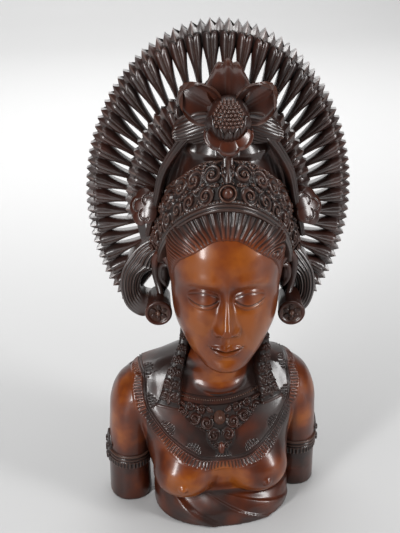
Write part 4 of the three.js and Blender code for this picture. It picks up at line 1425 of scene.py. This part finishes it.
def add_petal(carving, lean, length, half_width, cup, roll, root_y, edge, tone, ribs=0.0):
    """Petal that grows from the bud, cupped across and rolled over at its tip."""
    along = np.array([math.sin(lean), 0, math.cos(lean)])
    side = np.array([math.cos(lean), 0, -math.sin(lean)])
    t = np.linspace(0, 1, 34)[:, None]
    u = np.linspace(-1, 1, 31)[None, :]
    half = half_width * np.sin(np.pi * (0.12 + 0.66 * t)) ** 0.62
    reach = length * (0.2 + 0.8 * t * np.sqrt(1 - 0.42 * u * u)) + edge(u) * t ** 4
    y = BUD_CENTRE[1] + root_y - cup * u * u + roll * t ** 3
    lip = -1.3 * step(np.abs(u), 0.82, 1.0) - 1.1 * step(t, 0.9, 1.0)
    veins = 0.45 * (bump(u - 0.09, 0.035) + bump(u + 0.09, 0.035)) * step(t, 0.1, 0.3)
    veins = veins + ribs * (0.5 + 0.5 * np.cos(9 * np.pi * u))
    x = along[0] * reach + side[0] * half * u
    z = BUD_CENTRE[2] + along[2] * reach + side[2] * half * u
    front = places(x, y + lip - veins, z)
    rear = places(x, y + 3.6, z)[:, ::-1]
    # Painted shade in the ribs and veins, near the root and along the edges.
    cut = (
        ribs * (0.5 - 0.5 * np.cos(9 * np.pi * u)) + 0.5 * bump(np.abs(u) - 0.16, 0.03)
        + 0.7 * (1 - step(t, 0.0, 0.25)) + 0.6 * bump(np.abs(u) - 0.8, 0.05)
    )
    cut_shade = np.concatenate([np.clip(cut, 0, 1), np.zeros(x.shape)], 1)
    carving.closed(np.concatenate([front, rear], 1), tone=tone, cut_shade=cut_shade)


def add_calyx(carving):
    """Three-lobed cup under the bud, with a raised rim."""
    turn = np.radians(np.linspace(-84, 84, 90))[None, :]
    t = np.linspace(0, 1, 18)[:, None]
    lobe = np.abs(np.cos(turn * math.pi / 2 / math.radians(28)))
    reach = 9 + (8.0 + 2.4 * lobe ** 0.6) * t
    x = 0.95 * reach * np.sin(turn)
    z = BUD_CENTRE[2] - 3 - reach * np.cos(turn)
    y = BUD_CENTRE[1] - 6 - 3 * np.cos(turn) - 5 * t - 1.0 * bump(t - 0.92, 0.07)
    net = capped(places(x, y, z))
    net[[0, -1], :, 1] += 5.0
    # Painted shade at the root of the cup and along a line under its rim.
    rim = 0.6 * (1 - step(t, 0, 0.4)) + 0.5 * bump(t - 0.80, 0.06)
    carving.grid(net, tone=0.4, cut_shade=capped(np.broadcast_to(rim, x.shape)))


# Rows of beads on the bud: height over its middle, and count.
BUD_ROWS = [(-1.5, 7), (1.1, 8), (3.7, 7), (6.2, 8), (8.6, 7), (10.8, 6), (12.6, 5), (14.0, 3)]


def bud_front(u, w):
    """Front of the bud over places from its middle."""
    depth = np.sqrt(np.maximum(1 - (u / BUD_RADII[0]) ** 2 - (w / BUD_RADII[2]) ** 2, 0.02))
    return places(BUD_CENTRE[0] + u, BUD_CENTRE[1] - BUD_RADII[1] * depth, BUD_CENTRE[2] + w)


def add_flower(material):
    """Beaded bud on a cup, between five petals."""
    carving = Carving()
    add_petal(carving, 0, 35, 15, 3, 12, 6, trefoil, 0.22)
    for side in SIDES:
        add_petal(carving, side * math.radians(62), 37, 14, 8, 5, 6, frill, 0.22)
        add_petal(carving, side * math.radians(112), 41, 11.5, -5, 7, -2, frill, 0.12, ribs=0.7)
    add_calyx(carving)
    # A little painted shade over the whole bud.
    carving.closed(ball_net(BUD_CENTRE, BUD_RADII, 72, 50), tone=0.12, cut_shade=0.2)
    ground = Ground(bud_front)
    for w, count in BUD_ROWS:
        for k in range(count):
            u = (k - (count - 1) / 2) * 2.65
            bead(carving, ground, (u, w), 1.45, 1.5, tone=0.2, segments=9)
    for s in SIDES:
        leaf(carving, ground, (s * 7.5, -11), (s * 10.8, 5), 4.2, 2.6, bend=s * -0.14)
        leaf(carving, ground, (s * 2.6, -13), (s * 6.0, -1.5), 2.8, 2.4, bend=s * -0.1)
    leaf(carving, ground, (0, -14), (0, -3), 3.6, 2.8)
    carving.piece("flower", material, sharp_over=50)


# Ears, wings and drums.

WING_FRONT = 5.0
WING_BACK = 18.0
WING_OUTER = [
    (36, 238), (57, 228), (68, 217), (75, 203), (76.5, 188), (73, 174), (66, 166), (58, 163.5),
    (51, 170),
]
WING_INNER = [
    (38, 222), (47, 214), (48, 207), (48, 205), (56, 203.5), (60, 197), (61, 190), (58, 183),
    (52, 181),
]


def add_wings(material):
    """Wings beside the ears, fluted along their outer edge, with a hole by the ear."""
    carving = Carving(turn_fan)
    rows = 150
    inner, outer = (spline(line, rows)[:, None] for line in (WING_INNER, WING_OUTER))
    u = np.linspace(0, 1, 44)
    v = np.linspace(0, 1, rows)[:, None]
    flat = inner * (1 - u[:, None]) + outer * u[:, None]
    flutes = np.sin(np.pi * (u * 7.5)) ** 2 * (1 - step(v, 0.72, 0.88))
    dome = 4.5 * np.sin(np.pi * np.clip(u * 0.9 + 0.06, 0, 1)) ** 0.7
    lift = dome - 1.3 * flutes * step(u, 0.03, 0.1) * (1 - step(u, 0.92, 1))
    # Painted shade along the wing's edges and in its flutes.
    cut_shade = np.concatenate([np.full((rows, 1), 0.5), 0.75 * flutes, np.zeros((rows, 1))], 1)
    for side in SIDES:
        front = places(side * flat[..., 0], WING_FRONT - lift, flat[..., 1])
        ring = np.concatenate([front[:, :1], front, front[:, -1:]], 1)
        ring[:, [0, -1], 1] = WING_BACK
        carving.closed(ring, flip=side > 0, cut_shade=cut_shade)
    carving.piece("ear_wings", material, sharp_over=60)


PLUG = {"x": 51.0, "y": -27.0, "z": 183.0}
PLUG_RADIUS = 10.5
# Section of a plug: share of its radius, depth behind its front, and painted shade in its cuts.
PLUG_SECTION = np.array([
    (0.0, 1.0, 0.3), (0.62, 1.0, 0.6), (0.72, 0.2, 0.5), (0.78, -0.6, 0), (0.88, -0.8, 0),
    (0.96, -0.2, 0), (1.0, 1.0, 0), (1.0, 2.4, 0), (0.95, 3.4, 0.7), (0.97, 4.6, 0.2),
    (0.9, 12, 0), (0.82, 30, 0), (0.0, 30, 0),
])


def add_ear_drums(material):
    """Drum-shaped ear plugs with a rim and a flower on the front face."""
    carving = Carving()
    turn = all_round(48, 0)
    share, depth, cut = PLUG_SECTION.T[..., None]
    cut_shade = np.broadcast_to(cut, (len(cut), len(turn)))
    for side in SIDES:
        x = side * PLUG["x"] + PLUG_RADIUS * share * np.cos(turn)
        z = PLUG["z"] + PLUG_RADIUS * share * np.sin(turn)
        net = places(x, PLUG["y"] + depth, z)
        carving.grid(net, loop=True, tone=0.25, cut_shade=cut_shade)

        def face(u, w, side=side):
            return places(side * PLUG["x"] + u, PLUG["y"] + 1.0, PLUG["z"] + w)

        ground = Ground(face)
        bead(carving, ground, (0, 0), 2.4, 2.6, tone=0.15, segments=16)
        for a in np.radians(np.arange(30, 390, 60)):
            way = np.array([math.cos(a), math.sin(a)])
            leaf(carving, ground, 2.2 * way, 7.2 * way, 2.0, 1.5, tone=0.1)
    carving.piece("ear_drums", material)


EAR_RIM = [
    (40, -12, 207), (43, -11, 219), (49, -7, 225), (53, -4, 219), (53.5, -3, 207),
    (51, -6, 196), (48.5, -12, 188), (46, -17, 187),
]
EAR_BOWL = [(43, -9, 215), (48, -5, 213), (48.5, -5, 203), (45, -9, 197)]


def rim_section(share):
    """Round section of the ear's rim, as free_ridge takes it."""
    width = 2.4 + 0.8 * math.sin(math.pi * share)
    turn = all_round(12, 0)
    return width * np.cos(turn), width * 0.9 * np.sin(turn)


def bowl_section(share):
    """Round section of the ear's bowl, as free_ridge takes it."""
    width = 3.4 * math.sin(math.pi * (0.1 + 0.8 * share))
    turn = all_round(10, 0)
    return width * np.cos(turn), width * np.sin(turn)


def add_ears(material):
    """Ears with a rolled rim, a bowl and a full back."""
    carving = Carving()
    for side in SIDES:
        outward = (side * 0.6, -1, 0)
        rim = spline(np.array(EAR_RIM) * (side, 1, 1), 70)
        free_ridge(carving, rim, outward, rim_section, tone=0.22)
        bowl = spline(np.array(EAR_BOWL) * (side, 1, 1), 30)
        # Painted shade in the bowl and on the back of the ear.
        free_ridge(carving, bowl, outward, bowl_section, tone=0.25, cut_shade=0.4)
        carving.closed(ball_net((side * 47, 1, 206), (5.5, 9, 17), 40, 24), tone=0.2, cut_shade=0.5)
    carving.piece("ears", material)


# Necklace and tassels.

def chest_front(u, w):
    """Front of the chest with the cape, over places from the middle of the necklace."""
    x = NECKLACE_X + u
    y = np.full_like(x, -70.0)
    for _ in range(26):
        y += np.clip(body_distance(x, y, w), -2, 6) * 0.75
    return np.stack([x, y - 0.7, w], -1)


CRESCENT = {
    "half_width": 36.0, "top_z": 104.0, "top_rise": 6.0, "bottom_z": 82.0, "bottom_rise": 22.0,
}
CRESCENT_PATTERN = mirrored(
    [((10.2, 91.5), 5.0, -120, 1), ((19.8, 94.8), 5.0, -60, -1), ((29.0, 99.6), 4.6, -120, 1),
     ((13.6, 100.6), 3.6, 60, -1), ((22.4, 103.0), 3.3, 120, 1), ((5.2, 85.0), 3.0, 90, -1),
     ((15.0, 86.6), 2.8, 100, 1), ((25.0, 92.2), 2.6, 90, -1)],
    [((4.8, 98.5), (10.2, 101.5), 1.8), ((16.5, 102.5), (19.4, 103.8), 1.4),
     ((26.0, 104.0), (34.0, 107.4), 1.9), ((30.5, 94.8), (34.6, 103.5), 1.8),
     ((8.0, 98.0), (8.6, 103.0), 1.6), ((18.5, 88.5), (24.0, 89.6), 1.6)],
    [((6.3, 95.2), 1.2), ((15.2, 95.8), 1.3), ((24.6, 98.6), 1.2), ((10.2, 84.9), 1.2),
     ((20.0, 88.9), 0.9), ((18.1, 101.0), 1.1), ((27.5, 93.6), 0.9), ((34.2, 101.5), 1.0)],
)
HEART = {
    "half_width": 12.0, "top_z": 86.0, "top_rise": 4.0, "bottom_z": 67.0, "bottom_bend": 0.08,
}
HEART_PATTERN = mirrored(
    [((5.6, 82.6), 5.0, 100, -1), ((4.2, 74.6), 2.7, 90, 1)],
    [((6.0, 78.0), (9.6, 80.5), 1.2)],
    [((7.6, 76.6), 0.9)],
)
# Steps of the round boss in the middle of the necklace: radius and height.
BOSS = [(5.8, 4.4), (4.7, 5.2), (3.2, 6.6)]


def plate_places(low, high):
    """Heights of places over a plate between its lower and its upper line."""
    return low + (high - low) * np.linspace(0, 1, 64)


def add_plate(carving, ground, u, low, high, height, base, tone):
    """Carved plate on the chest between two lines, sunk into it along its edges."""
    w = plate_places(low, high)
    rim = np.minimum(w - low, high - w)
    across = 1 - step(np.abs(u) / np.abs(u).max(), 0.93, 1.0)
    edge = step(rim, 0, 0.8)
    body = base * step(rim, 0, 1.6) * across
    lift = body + 3.0 * height * across * edge - 1.2 * (1 - edge * across)
    # Painted shade in the cuts between the ornament.
    cut_shade = cut_shade_from_height(height) * across
    carving.grid(ground.at(u, w, lift), tone=tone, cut_shade=cut_shade)


def add_necklace(material):
    """Crescent plate with a boss and a heart below it, and the ring of the neck."""
    carving = Carving(in_place)
    ground = Ground(chest_front)
    u = np.linspace(-1, 1, 190)[:, None] * CRESCENT["half_width"]
    spread = (u / CRESCENT["half_width"]) ** 2
    low = CRESCENT["bottom_z"] + CRESCENT["bottom_rise"] * spread
    high = CRESCENT["top_z"] + CRESCENT["top_rise"] * spread
    wide, w = np.broadcast_arrays(u, plate_places(low, high))
    add_plate(carving, ground, u, low, high, foliage(wide, w, *CRESCENT_PATTERN), 1.8, 0.14)
    u = np.linspace(-1, 1, 70)[:, None] * HEART["half_width"]
    low = HEART["bottom_z"] + HEART["bottom_bend"] * u ** 2
    high = HEART["top_z"] + HEART["top_rise"] * np.sin(np.pi * np.abs(u) / HEART["half_width"])
    wide, w = np.broadcast_arrays(u, plate_places(low, high))
    tip = np.clip(1 - (u / 2.6) ** 2 - ((w - 72.5) / 5.0) ** 2, 0, 1) ** 0.5
    height = np.maximum(foliage(wide, w, *HEART_PATTERN), tip)
    add_plate(carving, ground, u, low, high, height, 3.0, 0.15 + 0.4 * (tip > 0))
    for radius, height in BOSS:
        bead(carving, ground, (0, 94.5), radius, height, tone=0.15, segments=22)
    for u in np.linspace(-33, 33, 38):
        spread = (u / CRESCENT["half_width"]) ** 2
        bead(carving, ground, (u, 106.2 + 6.0 * spread), 0.8, 1.5, segments=8)
    bow = np.linspace(-1, 1, 90)
    line = np.stack([36 * bow, 108.4 + 6.2 * bow ** 2], 1)
    ridge(carving, ground, line, 0.7, 1.1)
    add_collar(carving)
    carving.piece("necklace", material)


NECK_RING = {"radius": 24.5, "thickness": 3.0, "slope": math.radians(13), "z": 116.0}


def add_collar(carving):
    """Plain ring round the foot of the neck, with a groove above it."""
    around = all_round(150, 0)[:, None]
    turn = all_round(18, 0)
    c, s = math.cos(NECK_RING["slope"]), math.sin(NECK_RING["slope"])
    groove = 0.35 * bump(np.sin(turn) - 0.55, 0.18) * (np.cos(turn) > 0)
    thick = NECK_RING["thickness"] * (1 - groove)
    reach = NECK_RING["radius"] + thick * np.cos(turn)
    x, y, z = reach * np.cos(around), reach * np.sin(around), thick * np.sin(turn)
    net = places(NECK_FOOT_X + x, NECK_RING_Y + y * c - z * s, NECK_RING["z"] + y * s + z * c)
    # A little painted shade over the whole ring.
    carving.grid(np.concatenate([net, net[:1]]), loop=True, cut_shade=0.1)


TASSEL_TOP = np.array([(32, -12, 162), (33, -17, 148)])
TASSEL_LOW = np.array([(37, -24, 128), (40, -28, 114), (42.5, -31, 103)])
TASSEL_REPEATS = 6


def tassel_half(reach):
    """Half width of a tassel at a share of its length, without the flare at its end."""
    return 3.0 + 6.0 * reach ** 1.2


def tassel_pattern(length):
    """Scrolls, leaves and beads down a tassel, as foliage takes them."""
    scrolls, leaves, beads = [], [], []
    for k in range(TASSEL_REPEATS):
        at = 6.5 + k * (length - 11) / 5.6
        size = 0.5 * tassel_half(at / length) + 0.5
        for spin in SIDES:
            scrolls.append(((spin * size * 0.95, at), size * 1.02, 90, spin))
            beads.append(((spin * size * 1.75, at + size * 1.05), 0.9))
        leaves.append(((0, at + size * 0.2), (0, at + size * 1.6), size * 0.45))
        beads.append(((0, at - size * 0.9), 1.1))
    return scrolls, leaves, beads


def add_tassels(material):
    """Carved tassels that hang from the ears over the shoulders beside the neck."""
    carving = Carving(in_place)
    c = np.linspace(-1, 1, 44)
    for side in SIDES:
        top = turn_head(TASSEL_TOP * (side, 1, 1))
        path = spline(np.concatenate([top, TASSEL_LOW * (side, 1, 1) + (CHEST_X, 0, 0)]), 150)
        across, out = (way[:, None] for way in path_frame(path, (side * 0.4, -1, 0.3)))
        reach = np.linspace(0, 1, len(path))[:, None]
        length = lengths_along(path)[-1]
        half = tassel_half(reach) + 1.6 * reach ** 14
        u, w = np.broadcast_arrays(c * half, reach * length)
        height = foliage(u, w, *tassel_pattern(length))
        height = np.maximum(height, step(w, length - 2.2, length - 1.6) * 0.8)
        rim = step(1 - np.abs(c), 0, 0.08)
        lift = 1.6 * np.sqrt(np.clip(1 - c * c, 0, 1))
        lift = lift + (2.2 * height - 1.4) * rim - 2.0 * (1 - rim)
        front = path[:, None] + across * u[..., None] + out * lift[..., None]
        behind = np.array([0.9, -0.9]) * half
        rear = path[:, None] + across * behind[..., None] - out * 9.0
        # Painted shade in the cuts between the ornament.
        cut_shade = np.concatenate([cut_shade_from_height(height), np.zeros(behind.shape)], 1)
        net = np.concatenate([front, rear], 1)
        carving.closed(net, flip=True, tone=0.14, cut_shade=cut_shade)
    carving.piece("tassels", material)


# Arm bands.

# Section of an arm band: height over its middle, and lift over the arm.
ARM_BAND_SECTION = [
    (-6.9, -0.8), (-6.6, 0.8), (-6.0, 1.3), (-5.2, 1.4), (-4.2, 1.4), (-3.0, 1.4), (-1.8, 1.4),
    (-0.8, 1.4), (-0.2, 0.9), (0.2, 0.2), (0.7, 1.1), (1.8, 1.5), (2.9, 1.2), (3.5, 0.2),
    (4.1, 1.2), (5.1, 1.7), (5.9, 1.3), (6.3, -0.8),
]
GROOVE_LIFT = 0.2
ARM_MIDDLE_Y = 9.5


def add_arm_bands(material):
    """Bands with a row of strokes, and a leaf with scrolls over each of them."""
    carving = Carving(in_place)
    angle = all_round(220)
    stroke = 0.5 + 0.5 * np.cos(angle * 40)
    rows = []
    cuts = []
    for dz, lift in ARM_BAND_SECTION:
        ring = level_surface(ARM, angle, np.full_like(angle, BAND_Z + dz))
        outwards = unit(ring - (sizes(ARM, BAND_Z + dz)[0], ARM_MIDDLE_Y, BAND_Z + dz))
        carve = stroke * math.exp(-((dz + 3.8) / 2.6) ** 4)
        rows.append(ring + outwards * (lift - 0.9 * carve)[:, None])
        # Painted shade in the strokes and in the groove.
        cuts.append(0.9 * carve + 0.8 * (lift == GROOVE_LIFT))
    for side in SIDES:
        net = np.array(rows)
        net[..., 0] = CHEST_X + side * net[..., 0]
        carving.grid(net, loop=True, flip=side < 0, tone=0.05, cut_shade=np.array(cuts))

        def outer_side(u, w, side=side):
            turn = math.pi / 2 + side * u / sizes(ARM, w)[1]
            x, y, z = np.moveaxis(level_surface(ARM, turn, w), -1, 0)
            return places(CHEST_X + side * x, y, z)

        ground = Ground(outer_side)
        leaf(carving, ground, (0, BAND_Z - 10), (0, BAND_Z + 21), 8.0, 2.6)
        for spin in SIDES:
            scroll(carving, ground, (spin * 4.2, BAND_Z - 1), 3.6, 1.4, -90, -spin, 0.9, 3.0)
            scroll(carving, ground, (spin * 3.6, BAND_Z + 8), 2.8, 1.3, -90, -spin, 0.8, 3.0)
            leaf(carving, ground, (spin * 2, BAND_Z + 3), (spin * 8, BAND_Z + 12), 2.0, 2.2)
    carving.piece("arm_bands", material)


# Finish.

BLACK_BROWN = (0.0170, 0.0078, 0.0062, 1)
DARK_RED = (0.0340, 0.0090, 0.0048, 1)
RED_AMBER = (0.0740, 0.0140, 0.0030, 1)
AMBER = (0.1270, 0.0260, 0.0018, 1)
GOLD = (0.1850, 0.0460, 0.0030, 1)
WOOD_COLOURS = [
    (0.0, BLACK_BROWN), (0.25, DARK_RED), (0.6, RED_AMBER), (0.84, AMBER), (1.0, GOLD),
]
# Lighter colour of worn edges, which also paints a highlight along the ridges.
WORN_EDGE_AND_SHEEN = (0.1100, 0.0520, 0.0340, 1)
# Near-black colour of the painted shade in the deepest cuts.
CUT_SHADE_COLOUR = (0.0060, 0.0036, 0.0030, 1)

# Shades of the grain, and values of the pointiness between which edges look worn and take a
# painted highlight.
STREAKS = [(0.35, (0.62, 0.58, 0.56, 1)), (0.62, (1.12, 1.08, 1.05, 1))]
EDGES = [(0.51, (0, 0, 0, 1)), (0.58, (1, 1, 1, 1))]
# How far the painted shade darkens the deepest cuts.
CUT_SHADE_SHARE = 0.82
CUT_ROUGHNESS = 0.22
FINE_ROUGHNESS = 0.04
PORE_DEPTH = 0.0015


def rosewood(name, roughness, coat, coat_roughness, pores, edge_wear_and_sheen, grained=0.55, mottled=0.75,
             specular=0.25):
    """Polished rosewood: amber where the tone is high, black-brown grain, painted shade in cuts.
    """
    material = bpy.data.materials.new(name)
    material.use_nodes = True
    nodes, links = material.node_tree.nodes, material.node_tree.links
    shader = nodes["Principled BSDF"]

    def node(kind, inputs, **settings):
        """New node. Each input takes the output of another node or a plain value."""
        made = nodes.new(kind)
        for key, value in settings.items():
            setattr(made, key, value)
        for key, value in inputs.items():
            if isinstance(value, bpy.types.NodeSocket):
                links.new(value, made.inputs[key])
            else:
                made.inputs[key].default_value = value
        return made

    def attribute(key):
        return node("ShaderNodeAttribute", {}, attribute_name=key).outputs["Fac"]

    def noise(scale, detail, stretch=(1, 1, 1)):
        mapping = node("ShaderNodeMapping", {"Vector": coordinates, "Scale": stretch})
        inputs = {"Vector": mapping.outputs["Vector"], "Scale": scale, "Detail": detail}
        return node("ShaderNodeTexNoise", inputs).outputs["Fac"]

    def ramp(source, stops):
        made = node("ShaderNodeValToRGB", {"Fac": source})
        elements = made.color_ramp.elements
        elements[0].position, elements[0].color = stops[0]
        elements[1].position, elements[1].color = stops[-1]
        for place, colour in stops[1:-1]:
            elements.new(place).color = colour
        return made.outputs["Color"]

    def mix(kind, factor, a, b):
        inputs = {"Factor": factor, "A": a, "B": b}
        made = node("ShaderNodeMix", inputs, data_type="RGBA", blend_type=kind)
        return made.outputs["Result"]

    def calculate(kind, a, b):
        return node("ShaderNodeMath", {0: a, 1: b}, operation=kind).outputs["Value"]

    coordinates = node("ShaderNodeTexCoord", {}).outputs["Object"]
    pointiness = node("ShaderNodeNewGeometry", {}).outputs["Pointiness"]
    grain = noise(90, 5, (1.0, 1.0, 0.16))
    mottle = noise(38, 3)
    fine = noise(420, 2, (1.0, 1.0, 0.35))
    tooled = noise(150, 2)
    cut = attribute("cut_shade")

    mottle = calculate("MULTIPLY", calculate("SUBTRACT", mottle, 0.5), mottled)
    colour = ramp(calculate("ADD", attribute("tone"), mottle), WOOD_COLOURS)
    colour = mix("MULTIPLY", grained, colour, ramp(grain, STREAKS))
    # Convex edges lighten, for wear and as a painted highlight.
    edges = ramp(pointiness, EDGES)
    colour = mix("MIX", calculate("MULTIPLY", edges, edge_wear_and_sheen), colour, WORN_EDGE_AND_SHEEN)
    # Painted shade in the cuts.
    colour = mix("MIX", calculate("MULTIPLY", cut, CUT_SHADE_SHARE), colour, CUT_SHADE_COLOUR)
    links.new(colour, shader.inputs["Base Color"])

    rough = calculate("MULTIPLY", fine, FINE_ROUGHNESS)
    rough = calculate("ADD", rough, roughness - FINE_ROUGHNESS / 2)
    rough = calculate("ADD", rough, calculate("MULTIPLY", cut, CUT_ROUGHNESS))
    links.new(rough, shader.inputs["Roughness"])
    shader.inputs["Coat Weight"].default_value = coat
    shader.inputs["Coat Roughness"].default_value = coat_roughness
    shader.inputs["Specular IOR Level"].default_value = specular

    inputs = {"Strength": pores, "Distance": PORE_DEPTH, "Height": tooled}
    links.new(node("ShaderNodeBump", inputs).outputs["Normal"], shader.inputs["Normal"])
    return material


# Build.

skin_wood, face_wood = (
    rosewood(name, 0.38, 0.45, 0.17, pores=0.04, edge_wear_and_sheen=0.1, grained=0.3, mottled=mottled)
    for name, mottled in (("polished_amber_rosewood", 2.0), ("polished_golden_rosewood", 1.4))
)
dark_wood = rosewood("polished_dark_rosewood", 0.34, 0.50, 0.16, pores=0.12, edge_wear_and_sheen=0.3)
fan_wood = rosewood("fan_rosewood", 0.40, 1.0, 0.30, pores=0.20, edge_wear_and_sheen=0.5, specular=0.5)
carved_wood = rosewood("carved_dark_rosewood", 0.36, 0.30, 0.2, pores=0.25, edge_wear_and_sheen=0.6)
hair_wood = rosewood("combed_dark_rosewood", 0.36, 0.22, 0.22, pores=0.10, edge_wear_and_sheen=0.6,
                     specular=0.18)

add_body(skin_wood)
add_cape_edge(skin_wood)
add_face(face_wood)
add_hair(hair_wood)
add_combed_hair(hair_wood)
add_ears(skin_wood)
add_crown(dark_wood)
add_tiara(carved_wood)
add_fan(fan_wood)
add_flower(dark_wood)
add_wings(fan_wood)
add_ear_drums(carved_wood)
add_necklace(carved_wood)
add_tassels(carved_wood)
add_arm_bands(carved_wood)


# Floor and light.

# Sizes of the floor in metres.
FLOOR_HALF_WIDTH = 4.0
FLOOR_FRONT = -1.6
BEND_START = 1.4
BEND_RADIUS = 0.8
BACKDROP_TOP = 3.0
FLOOR_COLOUR = (0.41, 0.41, 0.41, 1)

WORLD_COLOUR = (0.93, 0.94, 0.96, 1)
WORLD_LIGHT = 0.06
WORLD_SEEN = 0.75


def add_stage():
    """Pale floor that curves up into the backdrop far behind the bust."""
    run = [(FLOOR_FRONT, 0.0)]
    for a in np.radians(np.arange(0, 91, 10)):
        run.append((BEND_START + BEND_RADIUS * math.sin(a), BEND_RADIUS * (1 - math.cos(a))))
    run.append((BEND_START + BEND_RADIUS, BACKDROP_TOP))
    points = [(x, y, z) for y, z in run for x in (-FLOOR_HALF_WIDTH, FLOOR_HALF_WIDTH)]
    faces = [(2 * i, 2 * i + 1, 2 * i + 3, 2 * i + 2) for i in range(len(run) - 1)]
    mesh = bpy.data.meshes.new("floor")
    mesh.from_pydata(points, [], faces)
    mesh.polygons.foreach_set("use_smooth", np.ones(len(faces), bool))
    material = bpy.data.materials.new("floor")
    material.use_nodes = True
    shader = material.node_tree.nodes["Principled BSDF"]
    shader.inputs["Base Color"].default_value = FLOOR_COLOUR
    shader.inputs["Roughness"].default_value = 0.55
    mesh.materials.append(material)
    floor = bpy.data.objects.new("floor", mesh)
    bpy.context.collection.objects.link(floor)


def add_light(name, place, aim, width, height, power):
    """Rectangular light that the camera doesn't see. Sizes are in metres."""
    data = bpy.data.lights.new(name, "AREA")
    data.shape = "RECTANGLE"
    data.size = width
    data.size_y = height
    data.energy = power
    light = bpy.data.objects.new(name, data)
    bpy.context.collection.objects.link(light)
    light.visible_camera = False
    light.location = place
    light.rotation_mode = "QUATERNION"
    light.rotation_quaternion = (Vector(aim) - Vector(place)).to_track_quat("-Z", "Y")


def add_world():
    """Pale surroundings to look at, which light the wood only a little."""
    world = bpy.data.worlds.new("studio")
    world.use_nodes = True
    nodes, links = world.node_tree.nodes, world.node_tree.links
    shade = nodes["Background"]
    shade.inputs["Color"].default_value = WORLD_COLOUR
    rays = nodes.new("ShaderNodeLightPath")
    strength = nodes.new("ShaderNodeMapRange")
    strength.inputs["To Min"].default_value = WORLD_LIGHT
    strength.inputs["To Max"].default_value = WORLD_SEEN
    links.new(rays.outputs["Is Camera Ray"], strength.inputs["Value"])
    links.new(strength.outputs["Result"], shade.inputs["Strength"])
    bpy.context.scene.world = world


add_stage()
add_world()
add_light("window_left", (-0.86, -0.78, 0.60), (0, 0, 0.22), 0.20, 0.75, 16.5)
add_light("window_right", (0.92, -0.62, 0.60), (0, 0, 0.22), 0.20, 0.75, 13)
add_light("soft_top", (0, 0.15, 1.6), (0, 0, 0.2), 1.9, 1.5, 19)
add_light("soft_back", (0, 1.0, 0.95), (0, 0, 0.22), 1.5, 0.5, 7)
add_light("backdrop_light", (0, 0.70, 1.1), (0, 1.6, 0.57), 1.8, 0.4, 35)
